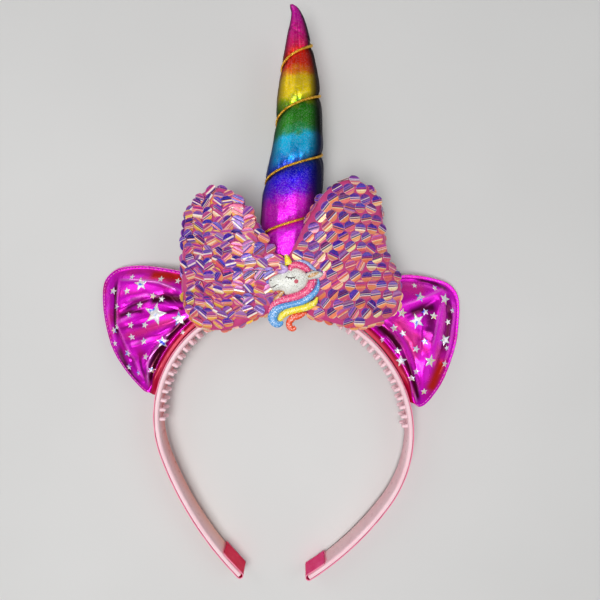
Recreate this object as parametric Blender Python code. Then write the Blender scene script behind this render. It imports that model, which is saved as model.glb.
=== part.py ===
"""A child's unicorn horn headband, lying on its back on a table.

The pieces are a moulded comb headband, a satin ribbon glued round it, a stuffed lame horn with
a gold cord wound on it, a pair of padded foil ears, a sequin bow and a cast unicorn head.

They are first laid out flat: the loop of the headband lies in the plane z = 0, the horn points
along +Y, +Z faces the viewer and the origin is on the ribbon, over the middle of the headband.
Then the whole is tilted until it rests on the headband's two tips and the back of the horn, the
ears are laid back onto the table, and the origin is moved below the middle of the bounding box.
"""

from math import ceil, cos, exp, floor, pi, radians, sin, sqrt

import bmesh
import bpy
from mathutils import Matrix, Vector

MM = 0.001

# Headband, ribbon and comb teeth
BAND_SPAN = 123.0 * MM
BAND_WIDTH = 10.0 * MM
BAND_THICKNESS = 1.7 * MM
RIBBON_THICKNESS = 0.6 * MM
RIBBON_WIDTH = 9.8 * MM
LEFT_FOLD = 13.5 * MM
RIGHT_FOLD = 10.5 * MM
TEETH_REACH = 94.0 * MM
TOOTH_PITCH = 4.8 * MM
TOOTH_LENGTH = 2.8 * MM
TOOTH_ALONG = 1.7 * MM
TOOTH_HEIGHT = 1.9 * MM
TOOTH_ROW_OFFSET = 2.6 * MM
TOOTH_TAPER = 0.7
GAP = 0.3 * MM

# The arcs of the ribbon's outer face, from the middle of the headband down each arm:
# radius as a share of BAND_SPAN, turn in degrees
BAND_ARCS = {
    "left": ((0.4675, 40.9), (0.4545, 72.4), (1.354, 24.6)),
    "right": ((0.5512, 57.0), (0.4886, 64.4), (1.162, 21.7)),
}
BAND_SKEW = radians(-4.1)

# Horn and its cord
HORN_LENGTH = 134.0 * MM
HORN_DIAMETER = 28.4 * MM
GROOVE_DEPTH = 1.9 * MM
GROOVE_WIDTH = 4.4 * MM
CORD_DIAMETER = 1.3 * MM
CORD_CLEARANCE = 0.84 * MM

# Horn stations: share of HORN_LENGTH, then the diameter and the sideways bend of the axis, both
# as shares of HORN_DIAMETER
HORN_STATIONS = (
    (0.000, 0.860, 0.010),
    (0.040, 0.935, 0.035),
    (0.120, 0.985, 0.085),
    (0.250, 1.000, 0.130),
    (0.360, 0.992, 0.160),
    (0.430, 0.960, 0.195),
    (0.510, 0.890, 0.235),
    (0.600, 0.805, 0.252),
    (0.690, 0.745, 0.258),
    (0.760, 0.690, 0.262),
    (0.830, 0.530, 0.262),
    (0.900, 0.365, 0.258),
    (0.945, 0.240, 0.250),
    (0.975, 0.160, 0.225),
    (0.992, 0.115, 0.185),
    (1.000, 0.060, 0.155),
)

# Where each turn of the cord crosses the horn's front: share of HORN_LENGTH
CORD_TURNS = (-0.127, 0.065, 0.257, 0.449, 0.652, 0.826, 0.985)
CORD_START = 0.45
CORD_END = 4.52
GROOVE_RUN_OUT = 0.06

# Bow
BOW_LEFT_REACH = 48.0 * MM
BOW_RIGHT_REACH = 52.5 * MM
BOW_HEIGHT = 66.0 * MM
BOW_THICKNESS = 4.6 * MM
BOW_OFFSET = (2.0 * MM, 6.2 * MM)
WING_END_LEVEL = 0.42
BOW_EDGE = 0.35
BOW_FULLNESS = 0.6

# Bow sections, from the pinched middle outward: share of the wing's reach, then the top and the
# bottom edge as shares of BOW_HEIGHT and the thickness as a share of BOW_THICKNESS
LEFT_WING = (
    (0.00, 0.180, -0.160, 0.80),
    (0.13, 0.250, -0.160, 0.84),
    (0.22, 0.370, -0.190, 0.90),
    (0.33, 0.500, -0.220, 1.00),
    (0.43, 0.590, -0.255, 1.00),
    (0.53, 0.640, -0.280, 1.00),
    (0.63, 0.660, -0.290, 0.98),
    (0.73, 0.645, -0.288, 0.94),
    (0.82, 0.610, -0.260, 0.88),
    (0.89, 0.560, -0.215, 0.78),
    (0.94, 0.480, -0.170, 0.66),
    (0.975, 0.360, -0.110, 0.50),
    (1.00, 0.060, -0.070, 0.26),
)
RIGHT_WING = (
    (0.08, 0.290, -0.155, 0.82),
    (0.15, 0.405, -0.165, 0.88),
    (0.23, 0.520, -0.195, 0.96),
    (0.32, 0.620, -0.220, 1.00),
    (0.43, 0.685, -0.245, 1.00),
    (0.55, 0.710, -0.270, 1.00),
    (0.66, 0.685, -0.270, 0.98),
    (0.74, 0.630, -0.252, 0.94),
    (0.80, 0.545, -0.240, 0.88),
    (0.845, 0.330, -0.230, 0.80),
    (0.89, 0.170, -0.215, 0.70),
    (0.95, 0.105, -0.180, 0.56),
    (0.985, 0.050, -0.130, 0.40),
    (1.00, 0.000, -0.070, 0.26),
)

# Gathers pressed into the bow's front, running out from its middle: slope of the crease, depth
# as a share of the thickness. They run from CREASE_START to CREASE_END, shares of the reach.
BOW_CREASES = ((-0.18, 0.10), (0.22, 0.16), (0.75, 0.12))
CREASE_WIDTH = 4.0 * MM
CREASE_START = 0.3
CREASE_END = 0.95
CREASE_RUN_OUT = 0.5

# Ears
EAR_BASE = 55.0 * MM
EAR_REACH = 49.0 * MM
EAR_THICKNESS = 12.0 * MM
EAR_SEAM = 1.8 * MM
EAR_SEAM_THICKNESS = 1.4 * MM
EAR_GAP = 0.45 * MM
EAR_MIDDLE = 56.0 * MM

# Fullness of an ear's padding: run from the seam to full height as a share of EAR_REACH, how
# quickly it fills towards its two ends, and its height beside the band and how far that reaches
EAR_SHOULDER = 0.34
EAR_FULLNESS = 0.55
EAR_ROOT = 0.55
EAR_ROOT_RUN = 0.22

# Outer edge of an ear, from its lower end round to the end under the bow: along the band as a
# share of EAR_BASE (down the arm is positive), out from the band as a share of EAR_REACH
LEFT_EAR_EDGE = (
    (0.490, -0.050),
    (0.505, 0.030),
    (0.480, 0.270),
    (0.410, 0.520),
    (0.270, 0.755),
    (0.120, 0.930),
    (0.000, 1.015),
    (-0.110, 1.010),
    (-0.200, 0.955),
    (-0.330, 0.790),
    (-0.470, 0.520),
    (-0.580, 0.260),
    (-0.590, 0.100),
    (-0.520, -0.050),
)
RIGHT_EAR_EDGE = (
    (0.500, -0.080),
    (0.565, -0.050),
    (0.575, 0.070),
    (0.520, 0.310),
    (0.370, 0.610),
    (0.210, 0.810),
    (0.070, 0.940),
    (-0.040, 0.965),
    (-0.140, 0.925),
    (-0.300, 0.780),
    (-0.430, 0.600),
    (-0.560, 0.270),
    (-0.560, 0.100),
    (-0.510, -0.040),
)

# Folds pressed into the padded ears, running from the band to the edge: place from the lower to
# the upper end of the ear, depth as a share of the padding's height
EAR_FOLDS = ((0.16, 0.16), (0.36, 0.22), (0.58, 0.20), (0.80, 0.16))
FOLD_SPREAD = 0.055

# Cast unicorn head
CHARM_HEIGHT = 34.0 * MM
CHARM_WALL = 1.1 * MM
CHARM_OFFSET = (5.9 * MM, 3.5 * MM)
CHARM_SEAT = 0.84

# Raised strokes of the cast head, each a run of points: place across and up from the middle and
# half the width there, as shares of CHARM_HEIGHT. The number after the name is how far the
# stroke's crown stands above the flat back, as a share of CHARM_HEIGHT.
CHARM_STROKES = (
    ("head", 0.125, ((-0.318, 0.100, 0.040), (-0.295, 0.100, 0.060), (-0.237, 0.100, 0.100),
                     (-0.140, 0.100, 0.137), (-0.040, 0.112, 0.145), (0.050, 0.137, 0.141),
                     (0.125, 0.150, 0.088), (0.165, 0.150, 0.035))),
    ("pink_mane", 0.090, ((0.225, 0.160, 0.045), (0.200, 0.040, 0.058), (0.105, -0.050, 0.062),
                          (-0.060, -0.094, 0.056), (-0.210, -0.131, 0.045), (-0.300, -0.205, 0.025))),
    ("blue_mane", 0.105, ((0.285, 0.150, 0.014), (0.275, 0.035, 0.032), (0.225, -0.075, 0.046),
                          (0.085, -0.150, 0.050), (-0.090, -0.190, 0.052), (-0.225, -0.250, 0.056),
                          (-0.275, -0.345, 0.062), (-0.220, -0.410, 0.045), (-0.165, -0.385, 0.018))),
    ("yellow_mane", 0.100, ((0.275, -0.105, 0.012), (0.235, -0.180, 0.034), (0.110, -0.237, 0.040),
                            (-0.050, -0.262, 0.042), (-0.150, -0.312, 0.040), (-0.195, -0.365, 0.022))),
    ("orange_mane", 0.085, ((0.130, -0.270, 0.016), (0.025, -0.330, 0.042), (-0.062, -0.372, 0.046),
                            (-0.070, -0.450, 0.045), (-0.005, -0.455, 0.026))),
    ("forelock", 0.135, ((-0.045, 0.250, 0.022), (-0.050, 0.310, 0.042), (0.010, 0.340, 0.045),
                         (0.100, 0.318, 0.048), (0.180, 0.262, 0.030))),
    ("blue_crest", 0.080, ((-0.010, 0.372, 0.012), (0.110, 0.368, 0.020), (0.205, 0.318, 0.026),
                           (0.260, 0.250, 0.018))),
    ("lilac_tuft", 0.105, ((-0.190, 0.330, 0.018), (-0.135, 0.295, 0.036), (-0.120, 0.235, 0.030))),
    ("ear", 0.130, ((0.120, 0.205, 0.026), (0.200, 0.226, 0.042), (0.290, 0.225, 0.038),
                    (0.350, 0.222, 0.010))),
    ("horn", 0.120, ((-0.070, 0.310, 0.040), (-0.100, 0.400, 0.030), (-0.138, 0.486, 0.012))),
)


def unit(angle):
    """Direction at an angle from +X, in the plane."""
    return Vector((cos(angle), sin(angle)))


def mix(a, b, share):
    """Value a share of the way from a to b."""
    return a + (b - a) * share


def smooth_step(share):
    """Eased share from 0 to 1."""
    share = min(1.0, max(0.0, share))
    return share * share * (3.0 - 2.0 * share)


def table_at(rows, place):
    """Columns of a table at a place in its first column, on a smooth curve through its rows."""
    place = min(rows[-1][0], max(rows[0][0], place))
    last = len(rows) - 1
    index = 0
    while index < last - 1 and place > rows[index + 1][0]:
        index += 1
    low, high = rows[index], rows[index + 1]
    span = high[0] - low[0]
    share = (place - low[0]) / span

    def slope(row, column):
        before, after = rows[max(0, row - 1)], rows[min(last, row + 1)]
        return (after[column] - before[column]) / (after[0] - before[0])

    values = []
    for column in range(1, len(low)):
        rise_low = slope(index, column) * span
        rise_high = slope(index + 1, column) * span
        values.append(
            low[column] * (2 * share**3 - 3 * share**2 + 1)
            + rise_low * (share**3 - 2 * share**2 + share)
            + high[column] * (3 * share**2 - 2 * share**3)
            + rise_high * (share**3 - share**2)
        )
    return values


def run_at(rows, share):
    """Point of a smooth curve through rows that are evenly counted, at a share of its run."""
    numbered = [(float(number), *row) for number, row in enumerate(rows)]
    return table_at(numbered, share * (len(rows) - 1))


def new_material(name, colour, roughness, metallic=0.0):
    """Principled material with one colour."""
    material = bpy.data.materials.new(name)
    material.use_nodes = True
    shader = material.node_tree.nodes["Principled BSDF"]
    shader.inputs["Base Color"].default_value = (*colour, 1.0)
    shader.inputs["Roughness"].default_value = roughness
    shader.inputs["Metallic"].default_value = metallic
    return material


def finish_mesh(name, mesh_data, material, smooth_angle=40.0):
    """Object from a bmesh, with its faces pointing out."""
    bmesh.ops.recalc_face_normals(mesh_data, faces=mesh_data.faces)
    mesh = bpy.data.meshes.new(name)
    mesh_data.to_mesh(mesh)
    mesh_data.free()
    mesh.shade_smooth()
    mesh.set_sharp_from_angle(angle=radians(smooth_angle))
    mesh.materials.append(material)
    piece = bpy.data.objects.new(name, mesh)
    bpy.context.scene.collection.objects.link(piece)
    return piece


def loft(mesh_data, rings, closed_ends=True):
    """Skin between rings of equally many points; returns the rings' vertices."""
    verts = [[mesh_data.verts.new(point) for point in ring] for ring in rings]
    for low, high in zip(verts, verts[1:]):
        for index, vert in enumerate(low):
            after = (index + 1) % len(low)
            mesh_data.faces.new((vert, low[after], high[after], high[index]))
    if closed_ends:
        mesh_data.faces.new(verts[0])
        mesh_data.faces.new(verts[-1])
    return verts


def arm_length(side):
    """Length of one arm along the ribbon's outer face, from the middle to the tip."""
    return sum(share * BAND_SPAN * radians(turn) for share, turn in BAND_ARCS[side])


def band_frame(distance):
    """Point of the ribbon's outer face and the way out, at a distance along it.

    The distance is from the middle of the headband, down the right arm if positive.
    """
    side = "right" if distance >= 0 else "left"
    sign = 1.0 if distance >= 0 else -1.0
    rest = abs(distance)
    point = Vector((0.0, 0.0))
    angle = pi / 2 + BAND_SKEW
    for share, turn in BAND_ARCS[side]:
        radius = share * BAND_SPAN
        centre = point - radius * unit(angle)
        step = min(rest, radius * radians(turn))
        angle -= sign * step / radius
        point = centre + radius * unit(angle)
        rest -= step
        if rest <= 0:
            break
    return point, unit(angle)


def band_point(distance, depth, height):
    """Point a depth inside the ribbon's outer face and a height above the loop's plane."""
    point, out = band_frame(distance)
    flat = point - depth * out
    return Vector((flat.x, flat.y, height))


PLASTIC_OUTER = RIBBON_THICKNESS + GAP
PLASTIC_INNER = PLASTIC_OUTER + BAND_THICKNESS
FOLD_RADIUS = BAND_THICKNESS / 2 + GAP + RIBBON_THICKNESS / 2
TIP_SETBACK = FOLD_RADIUS + RIBBON_THICKNESS / 2


def band_stations():
    """Distances along the band where its section is drawn, and which spans carry teeth."""
    count = floor(2 * TEETH_REACH / TOOTH_PITCH)
    first = -count * TOOTH_PITCH / 2
    stations = []
    toothed = set()
    for number in range(count + 1):
        middle = first + number * TOOTH_PITCH
        toothed.add(len(stations))
        stations += [middle - TOOTH_ALONG / 2, middle + TOOTH_ALONG / 2]
    plain_step = 5.5 * MM
    ends = {"left": [], "right": []}
    for side in ends:
        start = abs(first) + TOOTH_ALONG / 2
        end = arm_length(side) - TIP_SETBACK
        steps = ceil((end - start) / plain_step)
        ends[side] = [mix(start, end, number / steps) for number in range(1, steps + 1)]
    left = [-distance for distance in reversed(ends["left"])]
    toothed = {index + len(left) for index in toothed}
    return left + stations + ends["right"], toothed


def make_headband(material):
    """Comb headband: a strip on edge, with two rows of teeth on its inner face."""
    half = BAND_WIDTH / 2
    low_row, high_row = TOOTH_ROW_OFFSET - TOOTH_HEIGHT / 2, TOOTH_ROW_OFFSET + TOOTH_HEIGHT / 2
    heights = (half, high_row, low_row, -low_row, -high_row, -half)
    tooth_spans = (1, 3)
    stations, toothed = band_stations()
    rings = []
    for distance in stations:
        outer = [band_point(distance, PLASTIC_OUTER, height) for height in (-half, half)]
        inner = [band_point(distance, PLASTIC_INNER, height) for height in heights]
        rings.append(outer + inner)
    data = bmesh.new()
    verts = loft(data, rings)
    for station in sorted(toothed):
        for span in tooth_spans:
            corner = span + 2
            near, far = verts[station], verts[station + 1]
            base = (near[corner], near[corner + 1], far[corner + 1], far[corner])
            data.faces.remove(data.faces.get(base))
            grow_tooth(data, base, (stations[station] + stations[station + 1]) / 2)
    return finish_mesh("headband", data, material)


def grow_tooth(data, base, distance):
    """Tapered prong on the four vertices of a face, pointing into the loop."""
    out = band_frame(distance)[1]
    centre = sum((vert.co for vert in base), Vector()) / len(base)
    inward = Vector((-out.x, -out.y, 0.0)) * TOOTH_LENGTH
    tip = [data.verts.new(centre + (vert.co - centre) * TOOTH_TAPER + inward) for vert in base]
    for index, vert in enumerate(base):
        after = (index + 1) % len(base)
        data.faces.new((vert, base[after], tip[after], tip[index]))
    data.faces.new(tip)


def ribbon_path():
    """Middle line of the ribbon, with the way that its outer face looks, from fold to fold."""
    step = 5.5 * MM
    turn_steps = 6
    halves = {}
    for side, sign, fold in (("left", -1, LEFT_FOLD), ("right", 1, RIGHT_FOLD)):
        turn_at = arm_length(side) - TIP_SETBACK
        steps = ceil(turn_at / step)
        path = []
        for number in range(steps):
            point, out = band_frame(sign * turn_at * number / steps)
            path.append((point - out * RIBBON_THICKNESS / 2, out))
        point, out = band_frame(sign * turn_at)
        centre = point - out * (RIBBON_THICKNESS / 2 + FOLD_RADIUS)
        onward = Vector((out.y, -out.x)) * sign
        for number in range(turn_steps + 1):
            angle = pi * number / turn_steps
            way = out * cos(angle) + onward * sin(angle)
            path.append((centre + way * FOLD_RADIUS, way))
        fold_steps = 3
        for number in range(1, fold_steps + 1):
            point, out = band_frame(sign * (turn_at - fold * number / fold_steps))
            depth = RIBBON_THICKNESS / 2 + 2 * FOLD_RADIUS
            path.append((point - out * depth, -out))
        halves[side] = path
    return halves["left"][:0:-1] + halves["right"]


def make_ribbon(material):
    """Satin ribbon on the outer face, turned over both tips onto the inner face."""
    half_width, half_wall = RIBBON_WIDTH / 2, RIBBON_THICKNESS / 2
    rings = []
    for point, way in ribbon_path():
        outer, inner = point + way * half_wall, point - way * half_wall
        rings.append([
            Vector((outer.x, outer.y, -half_width)),
            Vector((outer.x, outer.y, half_width)),
            Vector((inner.x, inner.y, half_width)),
            Vector((inner.x, inner.y, -half_width)),
        ])
    data = bmesh.new()
    loft(data, rings)
    return finish_mesh("ribbon_cover", data, material)


def cord_turn(share):
    """Turns of the cord up to a share of the horn's length, whole where it crosses the front."""
    rows = [(place, float(number)) for number, place in enumerate(CORD_TURNS)]
    return table_at(rows, share)[0] - 1.0


def cord_share(turn):
    """Share of the horn's length at a number of turns."""
    return run_at([(place,) for place in CORD_TURNS], (turn + 1.0) / (len(CORD_TURNS) - 1))[0]


def horn_surface(share, angle):
    """Radius of the horn at a share of its length and an angle round it, with the cord's groove."""
    radius = table_at(HORN_STATIONS, share)[0] * HORN_DIAMETER / 2
    angle_turn = (angle - pi / 2) / (2 * pi)
    turn = cord_turn(share)
    nearest = floor(turn + angle_turn + 0.5) - angle_turn
    pitch = (cord_share(turn + 0.5) - cord_share(turn - 0.5)) * HORN_LENGTH
    across = (turn - nearest) * pitch / (GROOVE_WIDTH / 2)
    before_end = smooth_step((CORD_END + 2 * GROOVE_RUN_OUT - nearest) / GROOVE_RUN_OUT)
    after_start = smooth_step((nearest - CORD_START + 2 * GROOVE_RUN_OUT) / GROOVE_RUN_OUT)
    return radius - groove_depth(share) * before_end * after_start * exp(-across * across)


def groove_depth(share):
    """Depth of the groove, shallower where the horn gets thin."""
    return GROOVE_DEPTH * mix(0.62, 1.0, smooth_step((0.95 - share) / 0.5))


def horn_point(share, angle, radius):
    """Point at a radius and an angle round the horn's bent axis."""
    bend = table_at(HORN_STATIONS, share)[1] * HORN_DIAMETER
    return Vector((bend + radius * cos(angle), GAP + share * HORN_LENGTH, radius * sin(angle)))


def make_horn(material):
    """Stuffed horn with the cord's spiral groove pressed into it."""
    ring_count, sides = 66, 25
    shares = [number / ring_count for number in range(ring_count)] + [0.992, 1.0]
    rings = []
    for share in shares:
        angles = [2 * pi * number / sides for number in range(sides)]
        rings.append([horn_point(share, angle, horn_surface(share, angle)) for angle in angles])
    data = bmesh.new()
    loft(data, rings)
    return finish_mesh("horn", data, material, 60.0)


def make_horn_cord(material):
    """Cord wound up the horn in its groove."""
    turn_steps, sides = 22, 6
    steps = round((CORD_END - CORD_START) * turn_steps)
    radius = CORD_DIAMETER / 2
    points = []
    for number in range(steps + 1):
        turn = mix(CORD_START, CORD_END, number / steps)
        share = cord_share(turn)
        angle = pi / 2 - 2 * pi * turn
        seat = table_at(HORN_STATIONS, share)[0] * HORN_DIAMETER / 2 - groove_depth(share)
        points.append(horn_point(share, angle, seat + radius + CORD_CLEARANCE))
    rings = []
    for index, point in enumerate(points):
        along = (points[min(index + 1, steps)] - points[max(index - 1, 0)]).normalized()
        share = cord_share(mix(CORD_START, CORD_END, index / steps))
        away = point - horn_point(share, 0.0, 0.0)
        away = (away - away.project(along)).normalized()
        beside = along.cross(away)
        angles = [2 * pi * side / sides for side in range(sides)]
        rings.append([point + (away * cos(a) + beside * sin(a)) * radius for a in angles])
    data = bmesh.new()
    loft(data, rings)
    return finish_mesh("horn_cord", data, material, 60.0)


def bow_back(reach_share):
    """Height of the bow's back: over the horn in the middle, down over the ears at the ends."""
    over_horn = HORN_DIAMETER / 2 + GAP
    over_ears = EAR_THICKNESS * WING_END_LEVEL
    return mix(over_horn, over_ears, smooth_step((reach_share - 0.28) / 0.85))


def bow_ring(side_sign, row, reach):
    """Section of the bow across its wing: a flat back and a padded front with its gathers."""
    share, top, bottom, thickness = row
    front_steps, back_steps = 12, 4
    x = BOW_OFFSET[0] + side_sign * share * reach
    back = bow_back(share)
    ring = []
    for number in range(front_steps + 1):
        angle = pi * number / front_steps
        up = BOW_HEIGHT * mix(bottom, top, 0.5 + cos(angle) / 2)
        dome = mix(BOW_EDGE, 1.0, max(0.0, sin(angle)) ** BOW_FULLNESS)
        front = BOW_THICKNESS * thickness * (dome - crease_depth(share * reach, up))
        ring.append(Vector((x, BOW_OFFSET[1] + up, back + front)))
    for number in range(back_steps + 1):
        up = BOW_HEIGHT * mix(bottom, top, number / back_steps)
        ring.append(Vector((x, BOW_OFFSET[1] + up, back)))
    return ring


def crease_depth(across, up):
    """Depth of the gathers at a place on a wing, as a share of its thickness."""
    out = across / BOW_LEFT_REACH
    fade = smooth_step(out / CREASE_START) * smooth_step((CREASE_END - out) / CREASE_RUN_OUT)
    depth = 0.0
    for slope, share in BOW_CREASES:
        apart = (up - slope * across) / sqrt(1 + slope * slope) / CREASE_WIDTH
        depth += share * fade * exp(-apart * apart)
    return depth


def make_bow(material):
    """Sequin bow: two wings in one piece, gathered in the middle."""
    rings = [bow_ring(-1, row, BOW_LEFT_REACH) for row in reversed(LEFT_WING)]
    rings += [bow_ring(1, row, BOW_RIGHT_REACH) for row in RIGHT_WING]
    data = bmesh.new()
    loft(data, rings)
    return finish_mesh("bow", data, material, 50.0)


def ear_edge_point(edge, side_sign, share):
    """Point of an ear's outer edge, at a share of its run."""
    along, out_share = run_at(edge, share)
    point, out = band_frame(side_sign * EAR_MIDDLE)
    down = Vector((out.y, -out.x)) * side_sign
    return point + down * along * EAR_BASE + out * out_share * EAR_REACH


def ear_base_point(edge, side_sign, share):
    """Point of an ear's inner edge beside the ribbon, at the same share."""
    distance = mix(EAR_MIDDLE + edge[0][0] * EAR_BASE, EAR_MIDDLE + edge[-1][0] * EAR_BASE, share)
    point, out = band_frame(side_sign * distance)
    return point + out * EAR_GAP


def ear_level(along, out_share, reach):
    """Half the ear's thickness at a place in it, from its seams to its crown."""
    seam = EAR_SEAM_THICKNESS / 2
    from_edge = (1.0 - out_share) * reach
    rise = smooth_step((from_edge - EAR_SEAM) / (EAR_SHOULDER * EAR_REACH))
    ends = max(0.0, sin(pi * along)) ** EAR_FULLNESS
    from_band = mix(EAR_ROOT, 1.0, smooth_step(out_share / EAR_ROOT_RUN))
    fold = 0.0
    for place, depth in EAR_FOLDS:
        apart = (along - place) / FOLD_SPREAD
        fold += depth * exp(-apart * apart)
    fold *= smooth_step(from_edge / (EAR_SHOULDER * EAR_REACH))
    return seam + (EAR_THICKNESS / 2 - seam) * ends * rise * from_band * (1.0 - fold)


def make_ear(name, edge, side_sign, material):
    """Padded ear with a flat seam round its outer edge, beside the ribbon."""
    end_inset = 0.012
    along_steps = 18
    seam_places = 7
    rings = []
    for number in range(along_steps + 1):
        along = mix(end_inset, 1.0 - end_inset, number / along_steps)
        inner = ear_base_point(edge, side_sign, along)
        outer = ear_edge_point(edge, side_sign, along)
        reach = (outer - inner).length
        seam_share = max(0.5, 1.0 - EAR_SEAM / reach)
        places = [seam_share * place / seam_places for place in range(seam_places + 1)] + [1.0]
        front = []
        for place in places:
            flat = inner.lerp(outer, place)
            front.append(Vector((flat.x, flat.y, ear_level(along, place, reach))))
        back = [Vector((point.x, point.y, -point.z)) for point in reversed(front)]
        rings.append(front + back)
    data = bmesh.new()
    loft(data, rings)
    return finish_mesh(name, data, material, 50.0)


def make_stroke(rows, crown):
    """Mesh of one raised stroke of the cast head, with a flat back and a round front."""
    steps = 3 * (len(rows) - 1)
    arch_steps = 5
    points = [run_at(rows, number / steps) for number in range(steps + 1)]
    widest = max(row[2] for row in rows)
    rings = []
    for index, (x, y, half_width) in enumerate(points):
        before, after = points[max(index - 1, 0)], points[min(index + 1, steps)]
        along = Vector((after[0] - before[0], after[1] - before[1])).normalized()
        beside = Vector((-along.y, along.x))
        ring = []
        for number in range(arch_steps + 1):
            angle = pi * number / arch_steps
            flat = Vector((x, y)) + beside * half_width * cos(angle)
            dome = (crown * CHARM_HEIGHT - CHARM_WALL) * sqrt(half_width / widest)
            ring.append(Vector((
                CHARM_OFFSET[0] + flat.x * CHARM_HEIGHT,
                CHARM_OFFSET[1] + flat.y * CHARM_HEIGHT,
                charm_back() + CHARM_WALL + dome * sin(angle),
            )))
        for flat_end in (ring[-1], ring[0]):
            ring.append(Vector((flat_end.x, flat_end.y, charm_back())))
        rings.append(ring)
    data = bmesh.new()
    loft(data, rings)
    return data


def charm_back():
    """Height of the cast head's flat back, just in front of the bow's middle."""
    return bow_back(0.0) + BOW_THICKNESS * CHARM_SEAT + GAP


def make_charm(material):
    """Cast unicorn head, its raised strokes joined into one casting."""
    charm = None
    for name, crown, rows in CHARM_STROKES:
        stroke = finish_mesh("charm_" + name, make_stroke(rows, crown), material)
        if charm is None:
            charm = stroke
            charm.name = "charm"
            continue
        stroke.hide_render = True
        stroke.hide_viewport = True
        stroke.display_type = "WIRE"
        union = charm.modifiers.new(name, "BOOLEAN")
        union.operation = "UNION"
        union.solver = "MANIFOLD"
        union.object = stroke
    return charm


def all_points(pieces):
    """Every vertex of some objects, in world space."""
    bpy.context.view_layer.update()
    return [piece.matrix_world @ vert.co for piece in pieces for vert in piece.data.vertices]


def solve(height_at, high):
    """Value between 0 and high where a falling measure crosses zero."""
    low = 0.0
    for _ in range(40):
        middle = (low + high) / 2
        if height_at(middle) > 0:
            low = middle
        else:
            high = middle
    return (low + high) / 2


def move_meshes(pieces, matrix):
    """Turn or shift the meshes of some objects, which keep their own origins."""
    for piece in pieces:
        piece.data.transform(matrix)


def lay_down(pieces, horn, headband):
    """Tilt the whole until the horn's back and the band's tips are level."""
    band_points, horn_points = all_points([headband]), all_points([horn])

    def difference(angle):
        turn = Matrix.Rotation(angle, 4, "X")
        band_low = min((turn @ point).z for point in band_points)
        return band_low - min((turn @ point).z for point in horn_points)

    angle = solve(difference, radians(20.0))
    turn = Matrix.Rotation(angle, 4, "X")
    drop = min((turn @ point).z for point in band_points)
    move_meshes(pieces, Matrix.Translation((0.0, 0.0, -drop)) @ turn)
    return Matrix.Translation((0.0, 0.0, -drop)) @ turn


def lay_back_ear(ear, side_sign, placed):
    """Slope an ear down, away from its root beside the band, until its back touches the table."""
    point, out = band_frame(side_sign * EAR_MIDDLE)
    root = placed @ Vector((point.x, point.y, 0.0))
    points = [vert.co.copy() for vert in ear.data.vertices]

    def slope_by(fall):
        slope = Matrix()
        slope[2][0], slope[2][1] = -fall * out.x, -fall * out.y
        slope[2][3] = fall * (out.x * root.x + out.y * root.y)
        return slope

    def clearance(fall):
        return min((slope_by(fall) @ vertex).z for vertex in points)

    steepest = 0.6
    ear.data.transform(slope_by(solve(clearance, steepest)))


def main():
    for piece in list(bpy.data.objects):
        bpy.data.objects.remove(piece, do_unlink=True)

    pink_plastic = new_material("pale pink plastic", (0.86, 0.60, 0.64), 0.32)
    satin = new_material("hot pink satin", (0.78, 0.04, 0.14), 0.42)
    lame = new_material("rainbow lame", (0.10, 0.32, 0.80), 0.30, 0.7)
    gold = new_material("gold cord", (0.75, 0.50, 0.12), 0.35, 0.9)
    sequins = new_material("pink sequin cloth", (0.62, 0.12, 0.30), 0.45)
    enamel = new_material("painted resin", (0.85, 0.83, 0.80), 0.35)
    foil = new_material("magenta foil", (0.62, 0.01, 0.36), 0.22, 0.8)

    headband = make_headband(pink_plastic)
    ribbon = make_ribbon(satin)
    horn = make_horn(lame)
    cord = make_horn_cord(gold)
    bow = make_bow(sequins)
    ear_left = make_ear("ear_left", LEFT_EAR_EDGE, -1, foil)
    ear_right = make_ear("ear_right", RIGHT_EAR_EDGE, 1, foil)
    charm = make_charm(enamel)

    cutters = [piece for piece in bpy.data.objects if piece.hide_render]
    pieces = [headband, ribbon, horn, cord, bow, ear_left, ear_right, charm]
    placed = lay_down(pieces + cutters, horn, headband)
    lay_back_ear(ear_left, -1, placed)
    lay_back_ear(ear_right, 1, placed)

    points = all_points(pieces)
    middle_x = (min(point.x for point in points) + max(point.x for point in points)) / 2
    middle_y = (min(point.y for point in points) + max(point.y for point in points)) / 2
    move_meshes(pieces + cutters, Matrix.Translation((-middle_x, -middle_y, 0.0)))


main()
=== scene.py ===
"""Looks of the unicorn horn headband: every surface's finish, the soft pieces and the small details.

All pieces are made in the row's frame, in metres. Sizes that repeat the model's own are named as
in its source. Places that are read from the photograph are pixels of its 600 by 600 frame, and
each is turned into a point at the height of what carries it.
"""

import random
from math import atan2, ceil, cos, exp, floor, pi, radians, sin, sqrt

import bmesh
import bpy
import numpy as np
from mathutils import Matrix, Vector, noise
from mathutils.bvhtree import BVHTree

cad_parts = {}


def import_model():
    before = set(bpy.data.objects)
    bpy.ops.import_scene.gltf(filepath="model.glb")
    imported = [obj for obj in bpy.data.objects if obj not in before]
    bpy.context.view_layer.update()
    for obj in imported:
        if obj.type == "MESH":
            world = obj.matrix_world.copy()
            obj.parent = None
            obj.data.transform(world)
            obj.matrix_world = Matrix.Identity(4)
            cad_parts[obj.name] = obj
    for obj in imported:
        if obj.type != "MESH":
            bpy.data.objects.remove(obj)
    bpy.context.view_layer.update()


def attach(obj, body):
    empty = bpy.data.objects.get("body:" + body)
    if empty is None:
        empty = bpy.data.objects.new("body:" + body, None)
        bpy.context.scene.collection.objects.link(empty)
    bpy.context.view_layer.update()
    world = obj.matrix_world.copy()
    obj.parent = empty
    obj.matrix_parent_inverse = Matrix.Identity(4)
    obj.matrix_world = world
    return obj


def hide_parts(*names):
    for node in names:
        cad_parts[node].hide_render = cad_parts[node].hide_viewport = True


MM = 0.001
PIECES = []

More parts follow.
